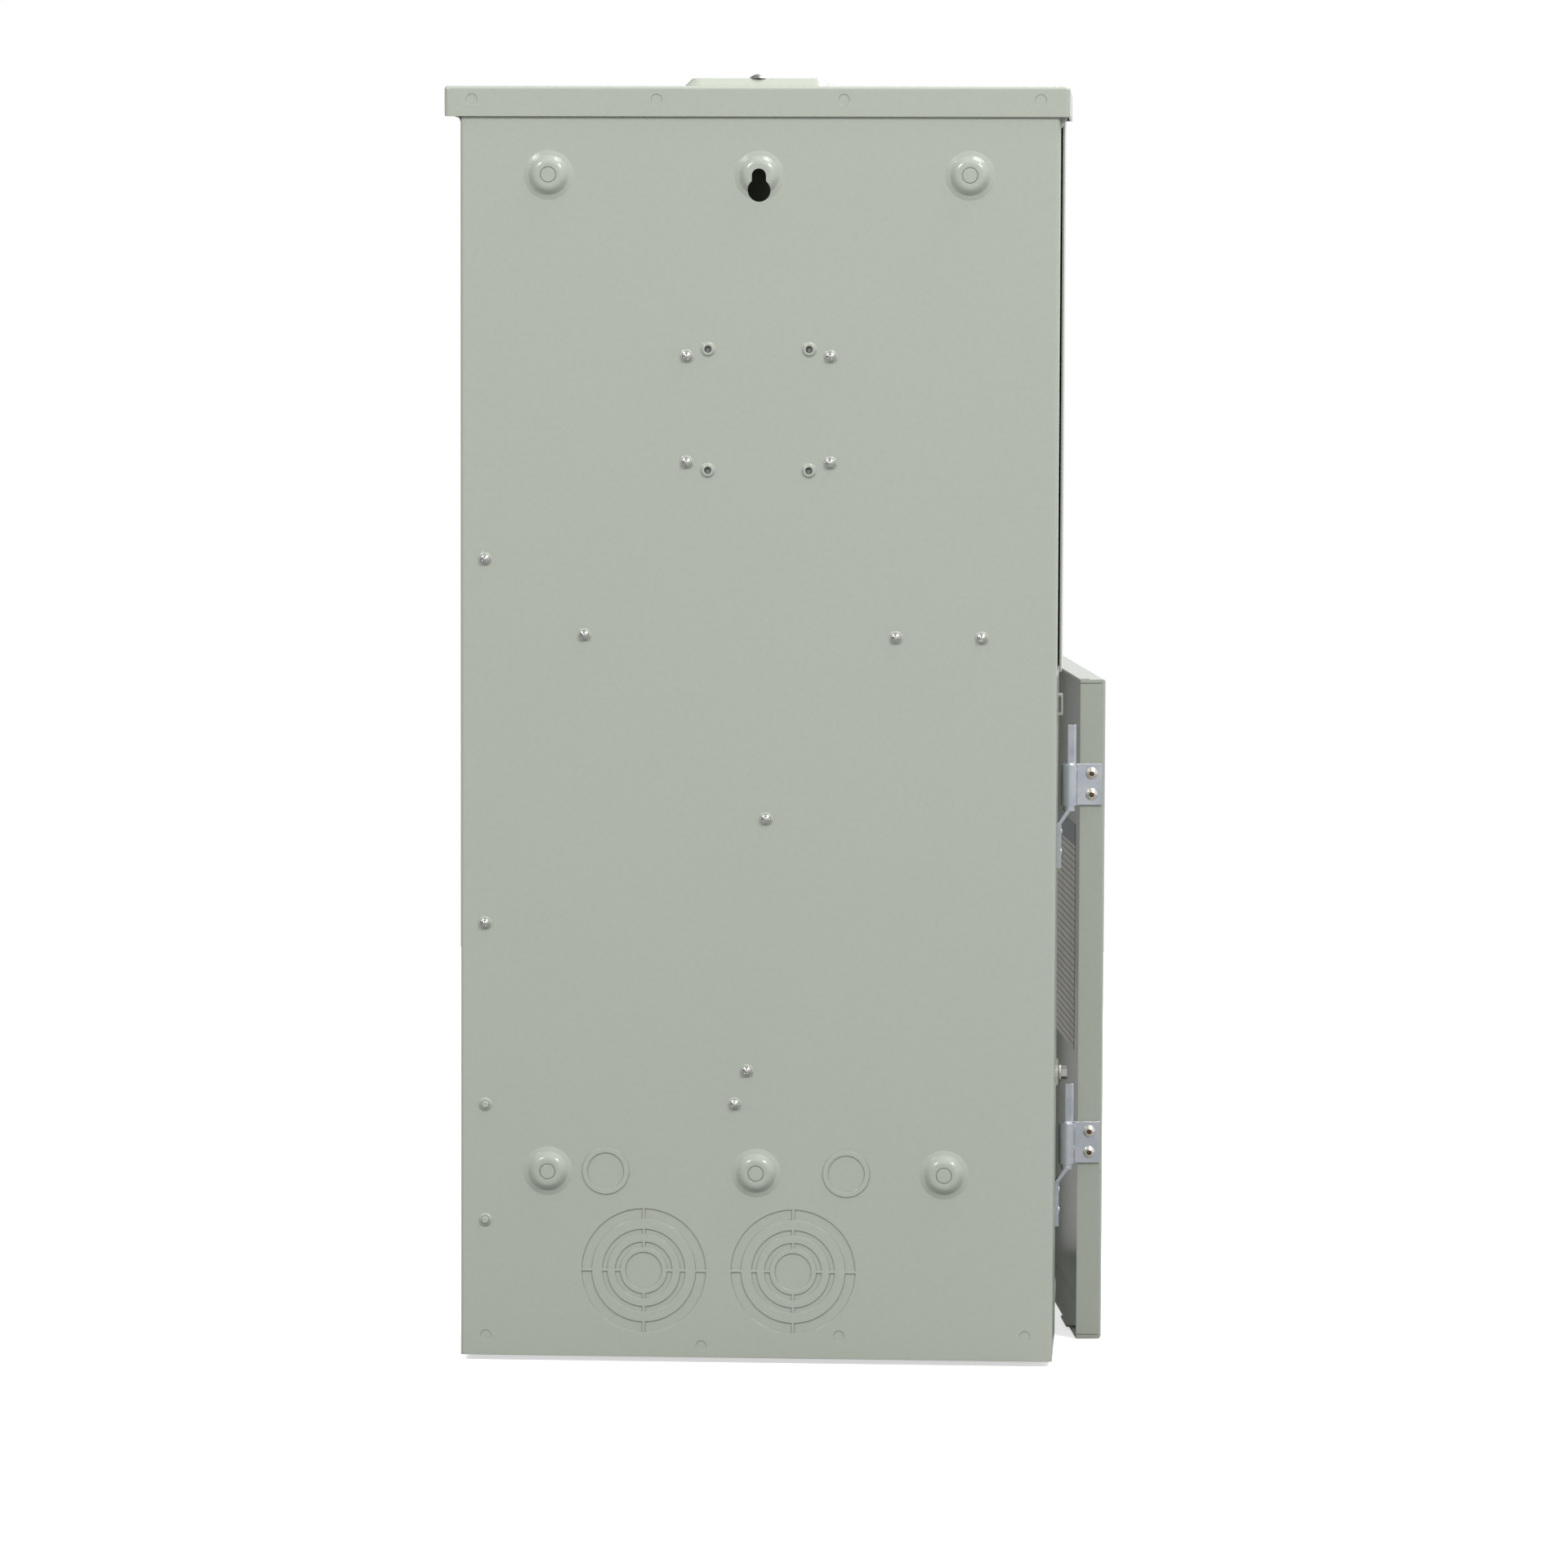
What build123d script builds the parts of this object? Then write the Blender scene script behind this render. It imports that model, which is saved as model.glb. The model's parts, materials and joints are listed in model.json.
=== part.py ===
from build123d import *
import math
import os

# Outdoor combination meter socket and load center: a welded steel box with a meter compartment
# above and a breaker compartment, behind a hinged door, below. Millimetres, +Z up, +X to the
# right for someone facing the front. The origin is the centre of the box's bottom face.
# "forward" is a distance measured from the rear face of the back plate towards the front (-Y).

# ---- driving dimensions --------------------------------------------------------------------
BOX_WIDTH = 358.0
BOX_DEPTH = 112.0
BOX_TOP = 760.0
STEEL = 1.5                    # back box, end walls and hood
COVER_STEEL = 1.2              # meter cover, door, dead front, barrier
PAN_HALF_WIDTH = 181.2         # door and meter cover stand just outside the box sides
FIT = 0.1                      # clearance between pieces that are simply put together
SCREW_RADIUS = 2.3
SCREW_CLEARANCE = 0.06

FOOT_FLANGE = 13.0             # bottom end wall's flange inside the back box
HOOD_BOTTOM = 746.3
HOOD_TOP = 764.5
HOOD_LEFT = -184.8
HOOD_RIGHT = 188.4
HOOD_FRONT = 128.0
HOOD_SIDE_LIFT = 1.7           # the sides and front stop this much above the rear flange
HUB_LID = (90.0, 84.0, 5.0)    # across, forward, height
HUB_CENTRE = (1.0, 46.0)       # across, forward
HUB_OPENING_RADIUS = 28.0
HUB_SCREW_OFFSET = 33.0

DIVIDE_HEIGHT = 414.0          # lower edge of the meter cover
METER_HEIGHT = 572.0
METER_OPENING_RADIUS = 81.5
COVER_FRONT = 114.0
COLLAR_FRONT = 122.0

DOOR_BOTTOM = -3.0
DOOR_TOP = 406.0
DOOR_FRONT = 122.8
DOOR_PAN_DEPTH = 15.7
DOOR_OPEN_ANGLE = 84.0         # how far the door stands open in the rest pose
HINGE_X = -185.9
HINGE_FORWARD = 100.2
HINGE_HEIGHTS = (328.8, 107.0)  # underside of each knuckle
HINGE_HEIGHT = 25.4
KNUCKLE_RADIUS = 5.1
LEAF_THICKNESS = 1.3
TONGUE_TOP = 49.6              # above the underside of the knuckle
PIN_RADIUS = KNUCKLE_RADIUS - LEAF_THICKNESS - 0.08

DEAD_FRONT_FACE = 105.0
BRANCH_PITCH = 25.4
BRANCH_TOP_ROW = 262.0
BRANCH_ROWS = 4
BRANCH_PIVOT = (36.0, 98.0)    # across, forward
BRANCH_ON_ANGLE = 16.0
MAIN_PIVOT = (343.0, 96.0)     # height, forward
MAIN_ON_ANGLE = 18.0

LATCH_X = 150.0
LATCH_HEIGHT = 202.0

BOSS_HEIGHT = 4.0
BOSS_RADIUS = 13.2
BOSS_FLAT_RADIUS = 8.4         # before its edge is rounded off
BOSS_UPPER = 711.6
BOSS_LOWER = 112.7
BOSSES = ((126.0, BOSS_UPPER), (-125.7, BOSS_UPPER), (0.0, BOSS_UPPER),
          (126.0, BOSS_LOWER), (0.0, BOSS_LOWER), (-113.4, BOSS_LOWER))
KEYHOLE_SLOT_HALF_WIDTH = 4.25
KEYHOLE_ROUND_RADIUS = 6.8
KEYHOLE_SLOT_CENTRE = 711.3
KEYHOLE_ROUND_CENTRE = 702.7

# Trade-size knockout radii: 1/2, 3/4, 1, 1 1/4, 1 1/2, 2 and 2 1/2 inch conduit.
KNOCKOUT_RADII = (11.1, 14.1, 17.4, 22.0, 25.2, 31.4, 37.7)
REAR_CONCENTRIC_KNOCKOUTS = ((67.9, 52.7), (-22.5, 52.9))
REAR_SINGLE_KNOCKOUTS = ((91.0, 113.0), (-54.4, 112.7))
KNOCKOUT_STEP = 0.5
KNOCKOUT_TIE = 0.75            # half the width of a tie

# Where fasteners come through the back plate (across, height).
ACCESSORY_SPACING = (60.6, 72.3)
SOCKET_SCREWS = ((43.0, 603.9), (-43.0, 603.9), (43.0, 540.6), (-43.0, 540.6))
NEUTRAL_SCREW = (104.2, 436.9)
BARRIER_SCREWS = ((-82.8, 436.3), (-134.2, 436.3))
INTERIOR_SCREWS = ((-5.2, 326.9), (5.8, 174.6), (13.1, 154.4))
CHANNEL_SCREWS = ((164.1, 482.1), (164.1, 262.7))
GROUND_PINS = ((164.0, 152.7), (164.0, 82.4))
HOOD_WELDS = (172.0, 61.5, -50.5, -167.5)
FOOT_WELDS = ((163.8, 12.0), (33.1, 7.0), (-50.3, 14.0), (-162.5, 15.2))

SIDE_X = -BOX_WIDTH / 2
SIDE_SCREW = (101.0, 163.5)    # forward, height
SIDE_PAD_RISE = 1.3            # the screw's pressed seat stands this far out of the side
BRIDGE_LANCE = (101.0, 391.0)  # forward, height

HASP_PIVOT = (446.0, 118.0)    # height, forward
HASP_RIVET_X = 20.0
LUG_SCREW_RADIUS = 6.0
NEUTRAL_LUG_SCREW = 418.0      # height of its set screw

PAN_FORWARD = 12.0             # rear face of the interior pan
POST_X = 125.0
POST_HEIGHTS = (160.0, 392.0)
BRANCHES = ((1, 0, 2), (1, 2, 1), (-1, 0, 1), (-1, 1, 1), (-1, 2, 1))  # side, top row, poles

# Each bar: across, forward of its rear face, lowest and highest end, number of screws.
NEUTRAL_BAR = (112.0, 34.0, 180.0, 300.0, 10)
GROUND_BAR = (164.0, 12.0, 68.0, 168.0, 7)
BAR_HALF = 6.0

LATCH_SHAFT_RADIUS = 4.0
LEAF_RIVET_LIFTS = (19.3, 6.4)
LEAF_RIVET_FORWARD = 114.3
STRAP_RIVET_DROPS = (16.0, 28.8)
STRAP_THICKNESS = 2.2
RIVET_HOLE = 2.06
RIVET_RADIUS = 2.0


# ---- helpers -------------------------------------------------------------------------------
def y_at(forward):
    return BOX_DEPTH / 2 - forward


def block(across, forward, height):
    """A box from three (low, high) pairs."""
    size = Box(across[1] - across[0], forward[1] - forward[0], height[1] - height[0])
    return Pos(sum(across) / 2, y_at(sum(forward) / 2), sum(height) / 2) * size


def rod_x(forward, height, radius, across):
    rod = Rot(0, 90, 0) * Cylinder(radius, across[1] - across[0])
    return Pos(sum(across) / 2, y_at(forward), height) * rod


def rod_y(across, height, radius, forward):
    rod = Rot(90, 0, 0) * Cylinder(radius, forward[1] - forward[0])
    return Pos(across, y_at(sum(forward) / 2), height) * rod


def rod_z(across, forward, radius, height):
    return Pos(across, y_at(forward), sum(height) / 2) * Cylinder(radius, height[1] - height[0])


def cone_y(across, height, radii, forward):
    """A cone along Y; the first radius is at the first forward distance."""
    cone = Rot(90, 0, 0) * Cone(radii[0], radii[1], forward[1] - forward[0])
    return Pos(across, y_at(sum(forward) / 2), height) * cone


def ring_y(across, height, radii, forward):
    return rod_y(across, height, radii[1], forward) - rod_y(across, height, radii[0], forward)


def hex_head(across, height, radius, forward):
    prism = extrude(RegularPolygon(radius, 6), forward[1] - forward[0])
    return Pos(across, y_at(forward[0]), height) * Rot(90, 0, 0) * prism


def bent_strip(points, thickness):
    """The outline of a bent strip: straight runs joined by round bends."""
    outline = Sketch()
    for (x0, y0), (x1, y1) in zip(points, points[1:]):
        length = math.hypot(x1 - x0, y1 - y0)
        turn = math.degrees(math.atan2(y1 - y0, x1 - x0))
        outline += Pos((x0 + x1) / 2, (y0 + y1) / 2) * Rot(0, 0, turn) * Rectangle(length, thickness)
    for x, y in points[1:-1]:
        outline += Pos(x, y) * Circle(thickness / 2)
    return outline


def across_plan(outline, height):
    """Stands a plan outline (across, forward) up between two heights."""
    return Pos(0, 0, height[0]) * extrude(outline, height[1] - height[0], dir=(0, 0, 1))


def across_front(outline, forward):
    """Gives an outline drawn as seen from the front (across, height) a thickness."""
    solid = Rot(90, 0, 0) * extrude(outline, forward[1] - forward[0], dir=(0, 0, 1))
    return Pos(0, y_at(forward[0]), 0) * solid


def mirrored(solid):
    return mirror(solid, about=Plane.YZ)


def swung_open(solid):
    """Turns a piece drawn with the door shut to where it stands at rest."""
    pivot = Pos(HINGE_X, y_at(HINGE_FORWARD), 0)
    back = Pos(-HINGE_X, -y_at(HINGE_FORWARD), 0)
    return pivot * Rot(0, 0, -DOOR_OPEN_ANGLE) * back * solid


def branch_row(row):
    return BRANCH_TOP_ROW - row * BRANCH_PITCH


# ---- enclosure -----------------------------------------------------------------------------
def boss(across, height):
    """A pressed stand-off: a bulge towards the wall with a flat crown and a small knockout."""
    outside = cone_y(across, height, (BOSS_FLAT_RADIUS, BOSS_RADIUS), (-BOSS_HEIGHT, 0.3))
    crown = outside.faces().sort_by(Axis.Y)[-1]
    outside = fillet(crown.edges(), 4.5)
    outside += cone_y(across, height, (BOSS_RADIUS - 1, BOSS_RADIUS + 2), (-0.8, 0.1))
    inside = cone_y(across, height, (BOSS_FLAT_RADIUS - 0.9, BOSS_RADIUS - 1.2),
                    (STEEL - BOSS_HEIGHT, STEEL + 0.2))
    return outside, inside


def knockout(across, height, recess):
    """Concentric knockouts: every second ring is pressed in, held by ties on four sides."""
    bands = [(0.0, KNOCKOUT_RADII[0])]
    bands += [(KNOCKOUT_RADII[i], KNOCKOUT_RADII[i + 1]) for i in (1, 3, 5)]
    pressed = Part()
    for inner, outer in bands:
        ring = rod_y(across, height, outer, recess)
        if inner:
            ring -= rod_y(across, height, inner, recess)
        pressed += ring
    tie = KNOCKOUT_TIE
    for side in (-1, 1):
        near, far = sorted((side * KNOCKOUT_RADII[0], side * (KNOCKOUT_RADII[-1] + 1)))
        pressed -= block((across + near, across + far), recess, (height - tie, height + tie))
        pressed -= block((across - tie, across + tie), recess, (height + near, height + far))
    return pressed


def back_plate_details(shell):
    for across, height in BOSSES:
        outside, inside = boss(across, height)
        shell = shell + outside - inside
        if height == BOSS_LOWER or across:
            shell -= ring_y(across, height, (4.3, 4.9), (-BOSS_HEIGHT - 1, 0.35 - BOSS_HEIGHT))
    slot = rod_y(0, KEYHOLE_SLOT_CENTRE, KEYHOLE_SLOT_HALF_WIDTH, (-6, 4))
    slot += block((-KEYHOLE_SLOT_HALF_WIDTH, KEYHOLE_SLOT_HALF_WIDTH), (-6, 4),
                  (KEYHOLE_ROUND_CENTRE, KEYHOLE_SLOT_CENTRE))
    shell -= slot + rod_y(0, KEYHOLE_ROUND_CENTRE, KEYHOLE_ROUND_RADIUS, (-6, 4))
    for across, height in REAR_CONCENTRIC_KNOCKOUTS:
        shell += knockout(across, height, (STEEL - 0.1, STEEL + KNOCKOUT_STEP))
        shell -= knockout(across, height, (-1, KNOCKOUT_STEP))
    for across, height in REAR_SINGLE_KNOCKOUTS:
        shell += ring_y(across, height, KNOCKOUT_RADII[:2], (-KNOCKOUT_STEP, 0.1))
        shell -= ring_y(across, height, KNOCKOUT_RADII[:2], (STEEL - KNOCKOUT_STEP, STEEL + 1))
    for across, height in FOOT_WELDS:
        shell -= rod_y(across, height, 3.2, (-1, 0.25))
    return shell


def fastener_holes(shell):
    """Extruded holes: a short collar pressed out towards the wall around each screw."""
    half_x, half_z = ACCESSORY_SPACING[0] / 2, ACCESSORY_SPACING[1] / 2
    accessory = [(x, METER_HEIGHT + z) for x in (-half_x, half_x) for z in (-half_z, half_z)]
    screws = SOCKET_SCREWS + (NEUTRAL_SCREW,) + BARRIER_SCREWS + INTERIOR_SCREWS + CHANNEL_SCREWS
    for across, height in accessory:
        shell += cone_y(across, height, (3.3, 4.7), (-1.1, 0.1))
        shell -= rod_y(across, height, 2.1, (-2, 3))
    for across, height in screws + GROUND_PINS:
        shell += cone_y(across, height, (3.2, 4.2), (-0.8, 0.1))
        shell -= rod_y(across, height, SCREW_RADIUS + SCREW_CLEARANCE, (-2, 3))
    return shell


def side_holes(shell):
    outer = (SIDE_X - 3, SIDE_X + 3)
    forward, height = SIDE_SCREW
    shell -= rod_x(forward, height, SCREW_RADIUS + SCREW_CLEARANCE, outer)
    for underside in HINGE_HEIGHTS:
        for drop in STRAP_RIVET_DROPS:
            shell -= rod_x(HINGE_FORWARD, underside - drop, RIVET_HOLE, outer)
    return shell


def bridge_lance():
    """A strap of the side wall pressed outwards, to hook the dead front on."""
    forward, height = BRIDGE_LANCE
    strap = block((SIDE_X - 2.7, SIDE_X + 0.2), (forward - 5, forward + 5), (height - 6.5, height + 6.5))
    gap = block((SIDE_X - 1.5, SIDE_X + 1), (forward - 6, forward + 6), (height - 5, height + 5))
    return fillet(strap.edges().filter_by(Axis.Y).sort_by(Axis.X)[:2], 1.0) - gap


def side_pad():
    """The pressed seat under the side screw, with sloping edges."""
    forward, height = SIDE_SCREW
    rise = SIDE_PAD_RISE
    outline = Polygon((SIDE_X + 0.2, y_at(forward + 5.5)), (SIDE_X - rise, y_at(forward + 5.1)),
                      (SIDE_X - rise, y_at(forward - 9)), (SIDE_X + 0.2, y_at(forward - 18)), align=None)
    return across_plan(outline, (height - 6.5, height + 8))


def foot_bulge():
    """Where the end wall's flange is welded behind it, the side bulges a little near its front."""
    inside, outside = SIDE_X + 0.2, SIDE_X - 0.7
    outline = Polygon((inside, 36), (outside, 33), (outside, 30), (inside, 9), align=None)
    return across_front(outline, (92, 106.6))


def back_box():
    half = BOX_WIDTH / 2
    outer = block((-half, half), (0, BOX_DEPTH), (0, BOX_TOP))
    outer = fillet(outer.edges().filter_by(Axis.Z).group_by(Axis.Y)[-1], 2.2)
    inner = block((STEEL - half, half - STEEL), (STEEL, BOX_DEPTH + 1), (-1, BOX_TOP + 1))
    shell = back_plate_details(outer - inner) + side_pad() + foot_bulge()
    return side_holes(fastener_holes(shell)) + bridge_lance()


def bottom_endwall():
    half = BOX_WIDTH / 2 - STEEL - FIT
    floor = block((-half, half), (STEEL + FIT, BOX_DEPTH), (0, STEEL))
    rim = block((-half, half), (STEEL + FIT, BOX_DEPTH), (0, FOOT_FLANGE))
    hollow = block((STEEL - half, half - STEEL), (2 * STEEL + FIT, BOX_DEPTH + 1), (STEEL, FOOT_FLANGE + 1))
    wall = floor + (rim - hollow)
    for across, radius in ((-112, 31.4), (-42, 14.1), (42, 14.1), (112, 31.4)):
        groove = rod_z(across, 58, radius, (-1, 0.4)) - rod_z(across, 58, radius - 1, (-1, 0.4))
        wall -= groove
    return wall


def top_endwall():
    half = BOX_WIDTH / 2 - STEEL - FIT
    roof = block((-half, half), (STEEL + FIT, BOX_DEPTH), (BOX_TOP - 16, BOX_TOP))
    hollow = block((STEEL - half, half - STEEL), (2 * STEEL + FIT, BOX_DEPTH + 1),
                   (BOX_TOP - 17, BOX_TOP - STEEL))
    wall = roof - hollow - rod_z(*HUB_CENTRE, HUB_OPENING_RADIUS, (BOX_TOP - 5, BOX_TOP + 5))
    return hub_screw_holes(wall, (BOX_TOP - 5, BOX_TOP + 5))


def hub_screw_holes(sheet, heights):
    across, forward = HUB_CENTRE
    for end in (-1, 1):
        sheet -= rod_z(across, forward + end * HUB_SCREW_OFFSET, SCREW_RADIUS + SCREW_CLEARANCE, heights)
    return sheet


def hood_webs():
    """Small webs that close the hood's corners beside the box; the hinge side's is the longer."""
    depth = (3, 4.2)
    left = Polygon((SIDE_X - 0.1, HOOD_BOTTOM + 5), (HOOD_LEFT + 0.8, HOOD_BOTTOM + 5),
                   (HOOD_LEFT + 0.8, HOOD_BOTTOM + 1), (SIDE_X - 1.0, HOOD_BOTTOM - 6.4),
                   (SIDE_X - 0.1, HOOD_BOTTOM - 6.4), align=None)
    inner, radius = -SIDE_X + 0.1, 3.0
    right = Polygon((inner, HOOD_BOTTOM + 5), (HOOD_RIGHT - 0.8, HOOD_BOTTOM + 5),
                    (HOOD_RIGHT - 0.8, HOOD_BOTTOM + 2), (inner + radius + 0.2, HOOD_BOTTOM),
                    (inner + radius + 0.2, HOOD_BOTTOM - radius), (inner, HOOD_BOTTOM - radius), align=None)
    right -= Pos(inner + radius + 0.2, HOOD_BOTTOM - radius) * Circle(radius)
    return across_front(left, depth) + across_front(right, depth)


def drip_hood():
    """A cap whose rear flange laps over the back plate; its other sides overhang as a drip edge."""
    outer = block((HOOD_LEFT, HOOD_RIGHT), (-STEEL, HOOD_FRONT), (HOOD_BOTTOM, HOOD_TOP))
    outer = fillet(outer.edges().filter_by(Axis.Z), 2.5)
    outer = fillet(outer.faces().sort_by(Axis.Z)[-1].edges(), 2.2)
    inner = block((HOOD_LEFT + STEEL, HOOD_RIGHT - STEEL), (0, HOOD_FRONT - STEEL),
                  (HOOD_BOTTOM - 1, HOOD_TOP - STEEL))
    hood = outer - inner - rod_z(*HUB_CENTRE, HUB_OPENING_RADIUS, (HOOD_TOP - 5, HOOD_TOP + 5))
    hood -= block((HOOD_LEFT - 1, HOOD_RIGHT + 1), (0, HOOD_FRONT + 1),
                  (HOOD_BOTTOM - 1, HOOD_BOTTOM + HOOD_SIDE_LIFT))
    centre = Pos((HOOD_LEFT + HOOD_RIGHT) / 2, (HOOD_BOTTOM + HOOD_TOP) / 2)
    rounded = centre * RectangleRounded(HOOD_RIGHT - HOOD_LEFT, HOOD_TOP - HOOD_BOTTOM, 1.2)
    hood = hood & across_front(rounded, (-STEEL - 1, HOOD_FRONT + 1))
    for across in HOOD_WELDS:
        hood -= rod_y(across, HOOD_BOTTOM + 10, 3.4, (-STEEL - 1, 0.25 - STEEL))
    return hub_screw_holes(hood + hood_webs(), (HOOD_TOP - 5, HOOD_TOP + 5))


def hub_closing_plate():
    """A pressed lid with sloping sides over the conduit hub opening."""
    across, forward = HUB_CENTRE
    place = Pos(across, y_at(forward), HOOD_TOP)
    width, length, height = HUB_LID
    lid = extrude(RectangleRounded(width, length, 11), height, taper=45)
    lid = fillet(lid.faces().sort_by(Axis.Z)[-1].edges(), 1.5)
    hollow = extrude(RectangleRounded(width - 3.6, length - 3.6, 9.2), height - COVER_STEEL, taper=45)
    plate = place * (lid - hollow)
    for end in (-1, 1):
        plate += rod_z(across, forward + end * HUB_SCREW_OFFSET, 3.8, (HOOD_TOP, HOOD_TOP + height - 0.5))
    return hub_screw_holes(plate, (HOOD_TOP - 1, HOOD_TOP + height + 1))


def hub_plate_screws():
    across, forward = HUB_CENTRE
    seat = HOOD_TOP + HUB_LID[2]
    screws = Part()
    for end in (-1, 1):
        place = Pos(across, y_at(forward + end * HUB_SCREW_OFFSET), seat)
        dome = Sphere(8.6) & (Pos(0, 0, 8.6) * Box(20, 20, 5.2))
        head = place * Pos(0, 0, -6.0) * dome
        slot = place * Pos(0, 0, 2.4) * Box(10, 1.3, 1.6)
        shank = rod_z(across, forward + end * HUB_SCREW_OFFSET, SCREW_RADIUS, (HOOD_TOP - 7, seat + 0.1))
        screws += head - slot + shank
    return screws


# ---- meter compartment ---------------------------------------------------------------------
def meter_cover():
    """The fixed upper cover: a pan with deep side flanges and a raised collar round the meter."""
    half = PAN_HALF_WIDTH
    outer = block((-half, half), (45, COVER_FRONT), (DIVIDE_HEIGHT, BOX_TOP - 2))
    outer = fillet(outer.edges().filter_by(Axis.Z).group_by(Axis.Y)[0], 1.8)
    inner = block((COVER_STEEL - half, half - COVER_STEEL), (44, COVER_FRONT - COVER_STEEL),
                  (DIVIDE_HEIGHT + COVER_STEEL, BOX_TOP))
    cover = outer - inner
    edge = (DIVIDE_HEIGHT - 1, DIVIDE_HEIGHT + 2)
    cover -= block((-half + COVER_STEEL, half - COVER_STEEL), (44, 107), edge)
    for side in (-1, 1):
        notch = sorted((side * (BOX_WIDTH / 2 - 2.5), side * (half - COVER_STEEL)))
        cover -= block(notch, (44, COVER_FRONT - COVER_STEEL), edge)
    collar = cone_y(0, METER_HEIGHT, (METER_OPENING_RADIUS + 12, METER_OPENING_RADIUS + 5),
                    (COVER_FRONT - COVER_STEEL, COLLAR_FRONT))
    collar -= cone_y(0, METER_HEIGHT, (METER_OPENING_RADIUS + 9.5, METER_OPENING_RADIUS + 3.2),
                     (COVER_FRONT - COVER_STEEL - 0.2, COLLAR_FRONT - COVER_STEEL))
    cover -= rod_y(0, METER_HEIGHT, METER_OPENING_RADIUS + 9.5, (COVER_FRONT - 3, COVER_FRONT + 1))
    cover += collar
    cover -= rod_y(0, METER_HEIGHT, METER_OPENING_RADIUS, (COVER_FRONT - 5, COLLAR_FRONT + 5))
    for side in (-1, 1):
        cover -= rod_y(side * HASP_RIVET_X, HASP_PIVOT[0], 1.56, (COVER_FRONT - 3, COVER_FRONT + 1))
    return cover


def seal_bracket():
    """Two riveted ears and a pin that carry the sealing hasp."""
    height, forward = HASP_PIVOT
    bracket = block((-24, 24), (COVER_FRONT, COVER_FRONT + 1.2), (height - 5, height + 7))
    for side in (-1, 1):
        ear_x = sorted((side * 11.6, side * 13.2))
        bracket += block(ear_x, (COVER_FRONT, forward + 3), (height - 4, height + 4))
        bracket += rod_y(side * HASP_RIVET_X, height, 1.5, (COVER_FRONT - 2.4, COVER_FRONT + 1.2))
        bracket += rod_y(side * HASP_RIVET_X, height, 2.8, (COVER_FRONT + 1.2, COVER_FRONT + 2.2))
    return bracket + rod_x(forward, height, 1.5, (-14.2, 14.2))


def seal_hasp():
    """A hanging hasp with a hole for the utility's wire seal."""
    height, forward = HASP_PIVOT
    tab = block((-10, 10), (forward + 1.4, forward + 2.6), (height - 27, height))
    tab = fillet(tab.edges().filter_by(Axis.Y).group_by(Axis.Z)[0], 5)
    hasp = tab + rod_x(forward, height, 2.6, (-10, 10))
    hasp -= rod_x(forward, height, 1.57, (-12, 12))
    return hasp - rod_y(0, height - 20, 2.4, (forward - 3, forward + 6))


def socket_block():
    """A moulded block for one leg of the meter socket (drawn for the +X side)."""
    body = block((24, 62), (STEEL, 24), (484, 660))
    body = fillet(body.edges().filter_by(Axis.Y), 3)
    for underside in (484, 608, 548):
        body -= block((28, 58), (STEEL - 1, 12), (underside + 6, underside + 40))
    for across, height in SOCKET_SCREWS:
        if across > 0:
            body += rod_y(across, height, 7.5, (STEEL, 24))
            body -= rod_y(across, height, SCREW_RADIUS + SCREW_CLEARANCE, (0, 12))
            body -= rod_y(across, height, 6.0, (10, 25))
    for side in (-1, 1):
        height = METER_HEIGHT + side * ACCESSORY_SPACING[1] / 2
        body -= rod_y(ACCESSORY_SPACING[0] / 2, height, 4.0, (0, 12))
    rib = block((60, 62), (20, 44), (500, 644))
    return body + fillet(rib.edges().filter_by(Axis.X).group_by(Axis.Y)[0], 3)


def jaw(centre, tail):
    """A spring jaw for one meter blade, on a flat terminal that runs to height "tail"."""
    path = ((4.6, 25.2), (4.6, 34), (1.9, 50), (1.9, 56), (5.2, 64))
    terminal = block((33.5, 52.5), (24, 26.5), sorted((centre - math.copysign(11, tail - centre), tail)))
    leaves = Sketch()
    for side in (-1, 1):
        points = [(43 + side * across, y_at(forward)) for across, forward in path]
        leaves += bent_strip(points, 1.6)
    return terminal + across_plan(leaves, (centre - 10, centre + 10))


def line_jaw():
    return jaw(METER_HEIGHT + 46, 660)


def load_jaw():
    return jaw(METER_HEIGHT - 46, 484)


def line_lug():
    """An aluminium box lug for one service conductor (drawn for the +X side)."""
    lug = block((32, 54), (26.5, 54), (634, 660))
    lug = fillet(lug.edges().filter_by(Axis.Z), 2)
    lug -= rod_z(43, 37.5, 8.2, (630, 665))
    return lug - rod_y(43, 647, LUG_SCREW_RADIUS + 0.06, (40, 56))


def neutral_lug():
    lug = block((93, 115.4), (STEEL, 31), (408, 450))
    lug = fillet(lug.edges().filter_by(Axis.Y), 2)
    across, height = NEUTRAL_SCREW
    lug -= rod_y(across, height, SCREW_RADIUS + SCREW_CLEARANCE, (0, 9))
    lug -= rod_y(across, height, 6.2, (8, 33))
    lug -= rod_z(across, 17.5, 7.0, (406, 429))
    return lug - rod_y(across, NEUTRAL_LUG_SCREW, LUG_SCREW_RADIUS + 0.06, (18, 33))


def lug_screws():
    """Set screws with a hexagon socket, one in each lug."""
    places = ((43, 647, 45.5, 56), (-43, 647, 45.5, 56), (NEUTRAL_SCREW[0], NEUTRAL_LUG_SCREW, 24.5, 34))
    screws = Part()
    for across, height, low, high in places:
        screw = rod_y(across, height, LUG_SCREW_RADIUS, (low, high))
        screws += screw - hex_head(across, height, 3.4, (high - 4, high + 1))
    return screws


def load_strap():
    """The bus from a load jaw down to the main breaker (drawn for the +X side)."""
    leg = Pos(43, 459) * Rectangle(18, 106)
    foot = Pos(31, 414) * Rectangle(42, 18)
    tab = Pos(19.5, 404) * Rectangle(19, 38)
    outline = fillet((leg + foot + tab).vertices(), 1.5)
    return across_front(outline, (26.6, 29.6))


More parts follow.
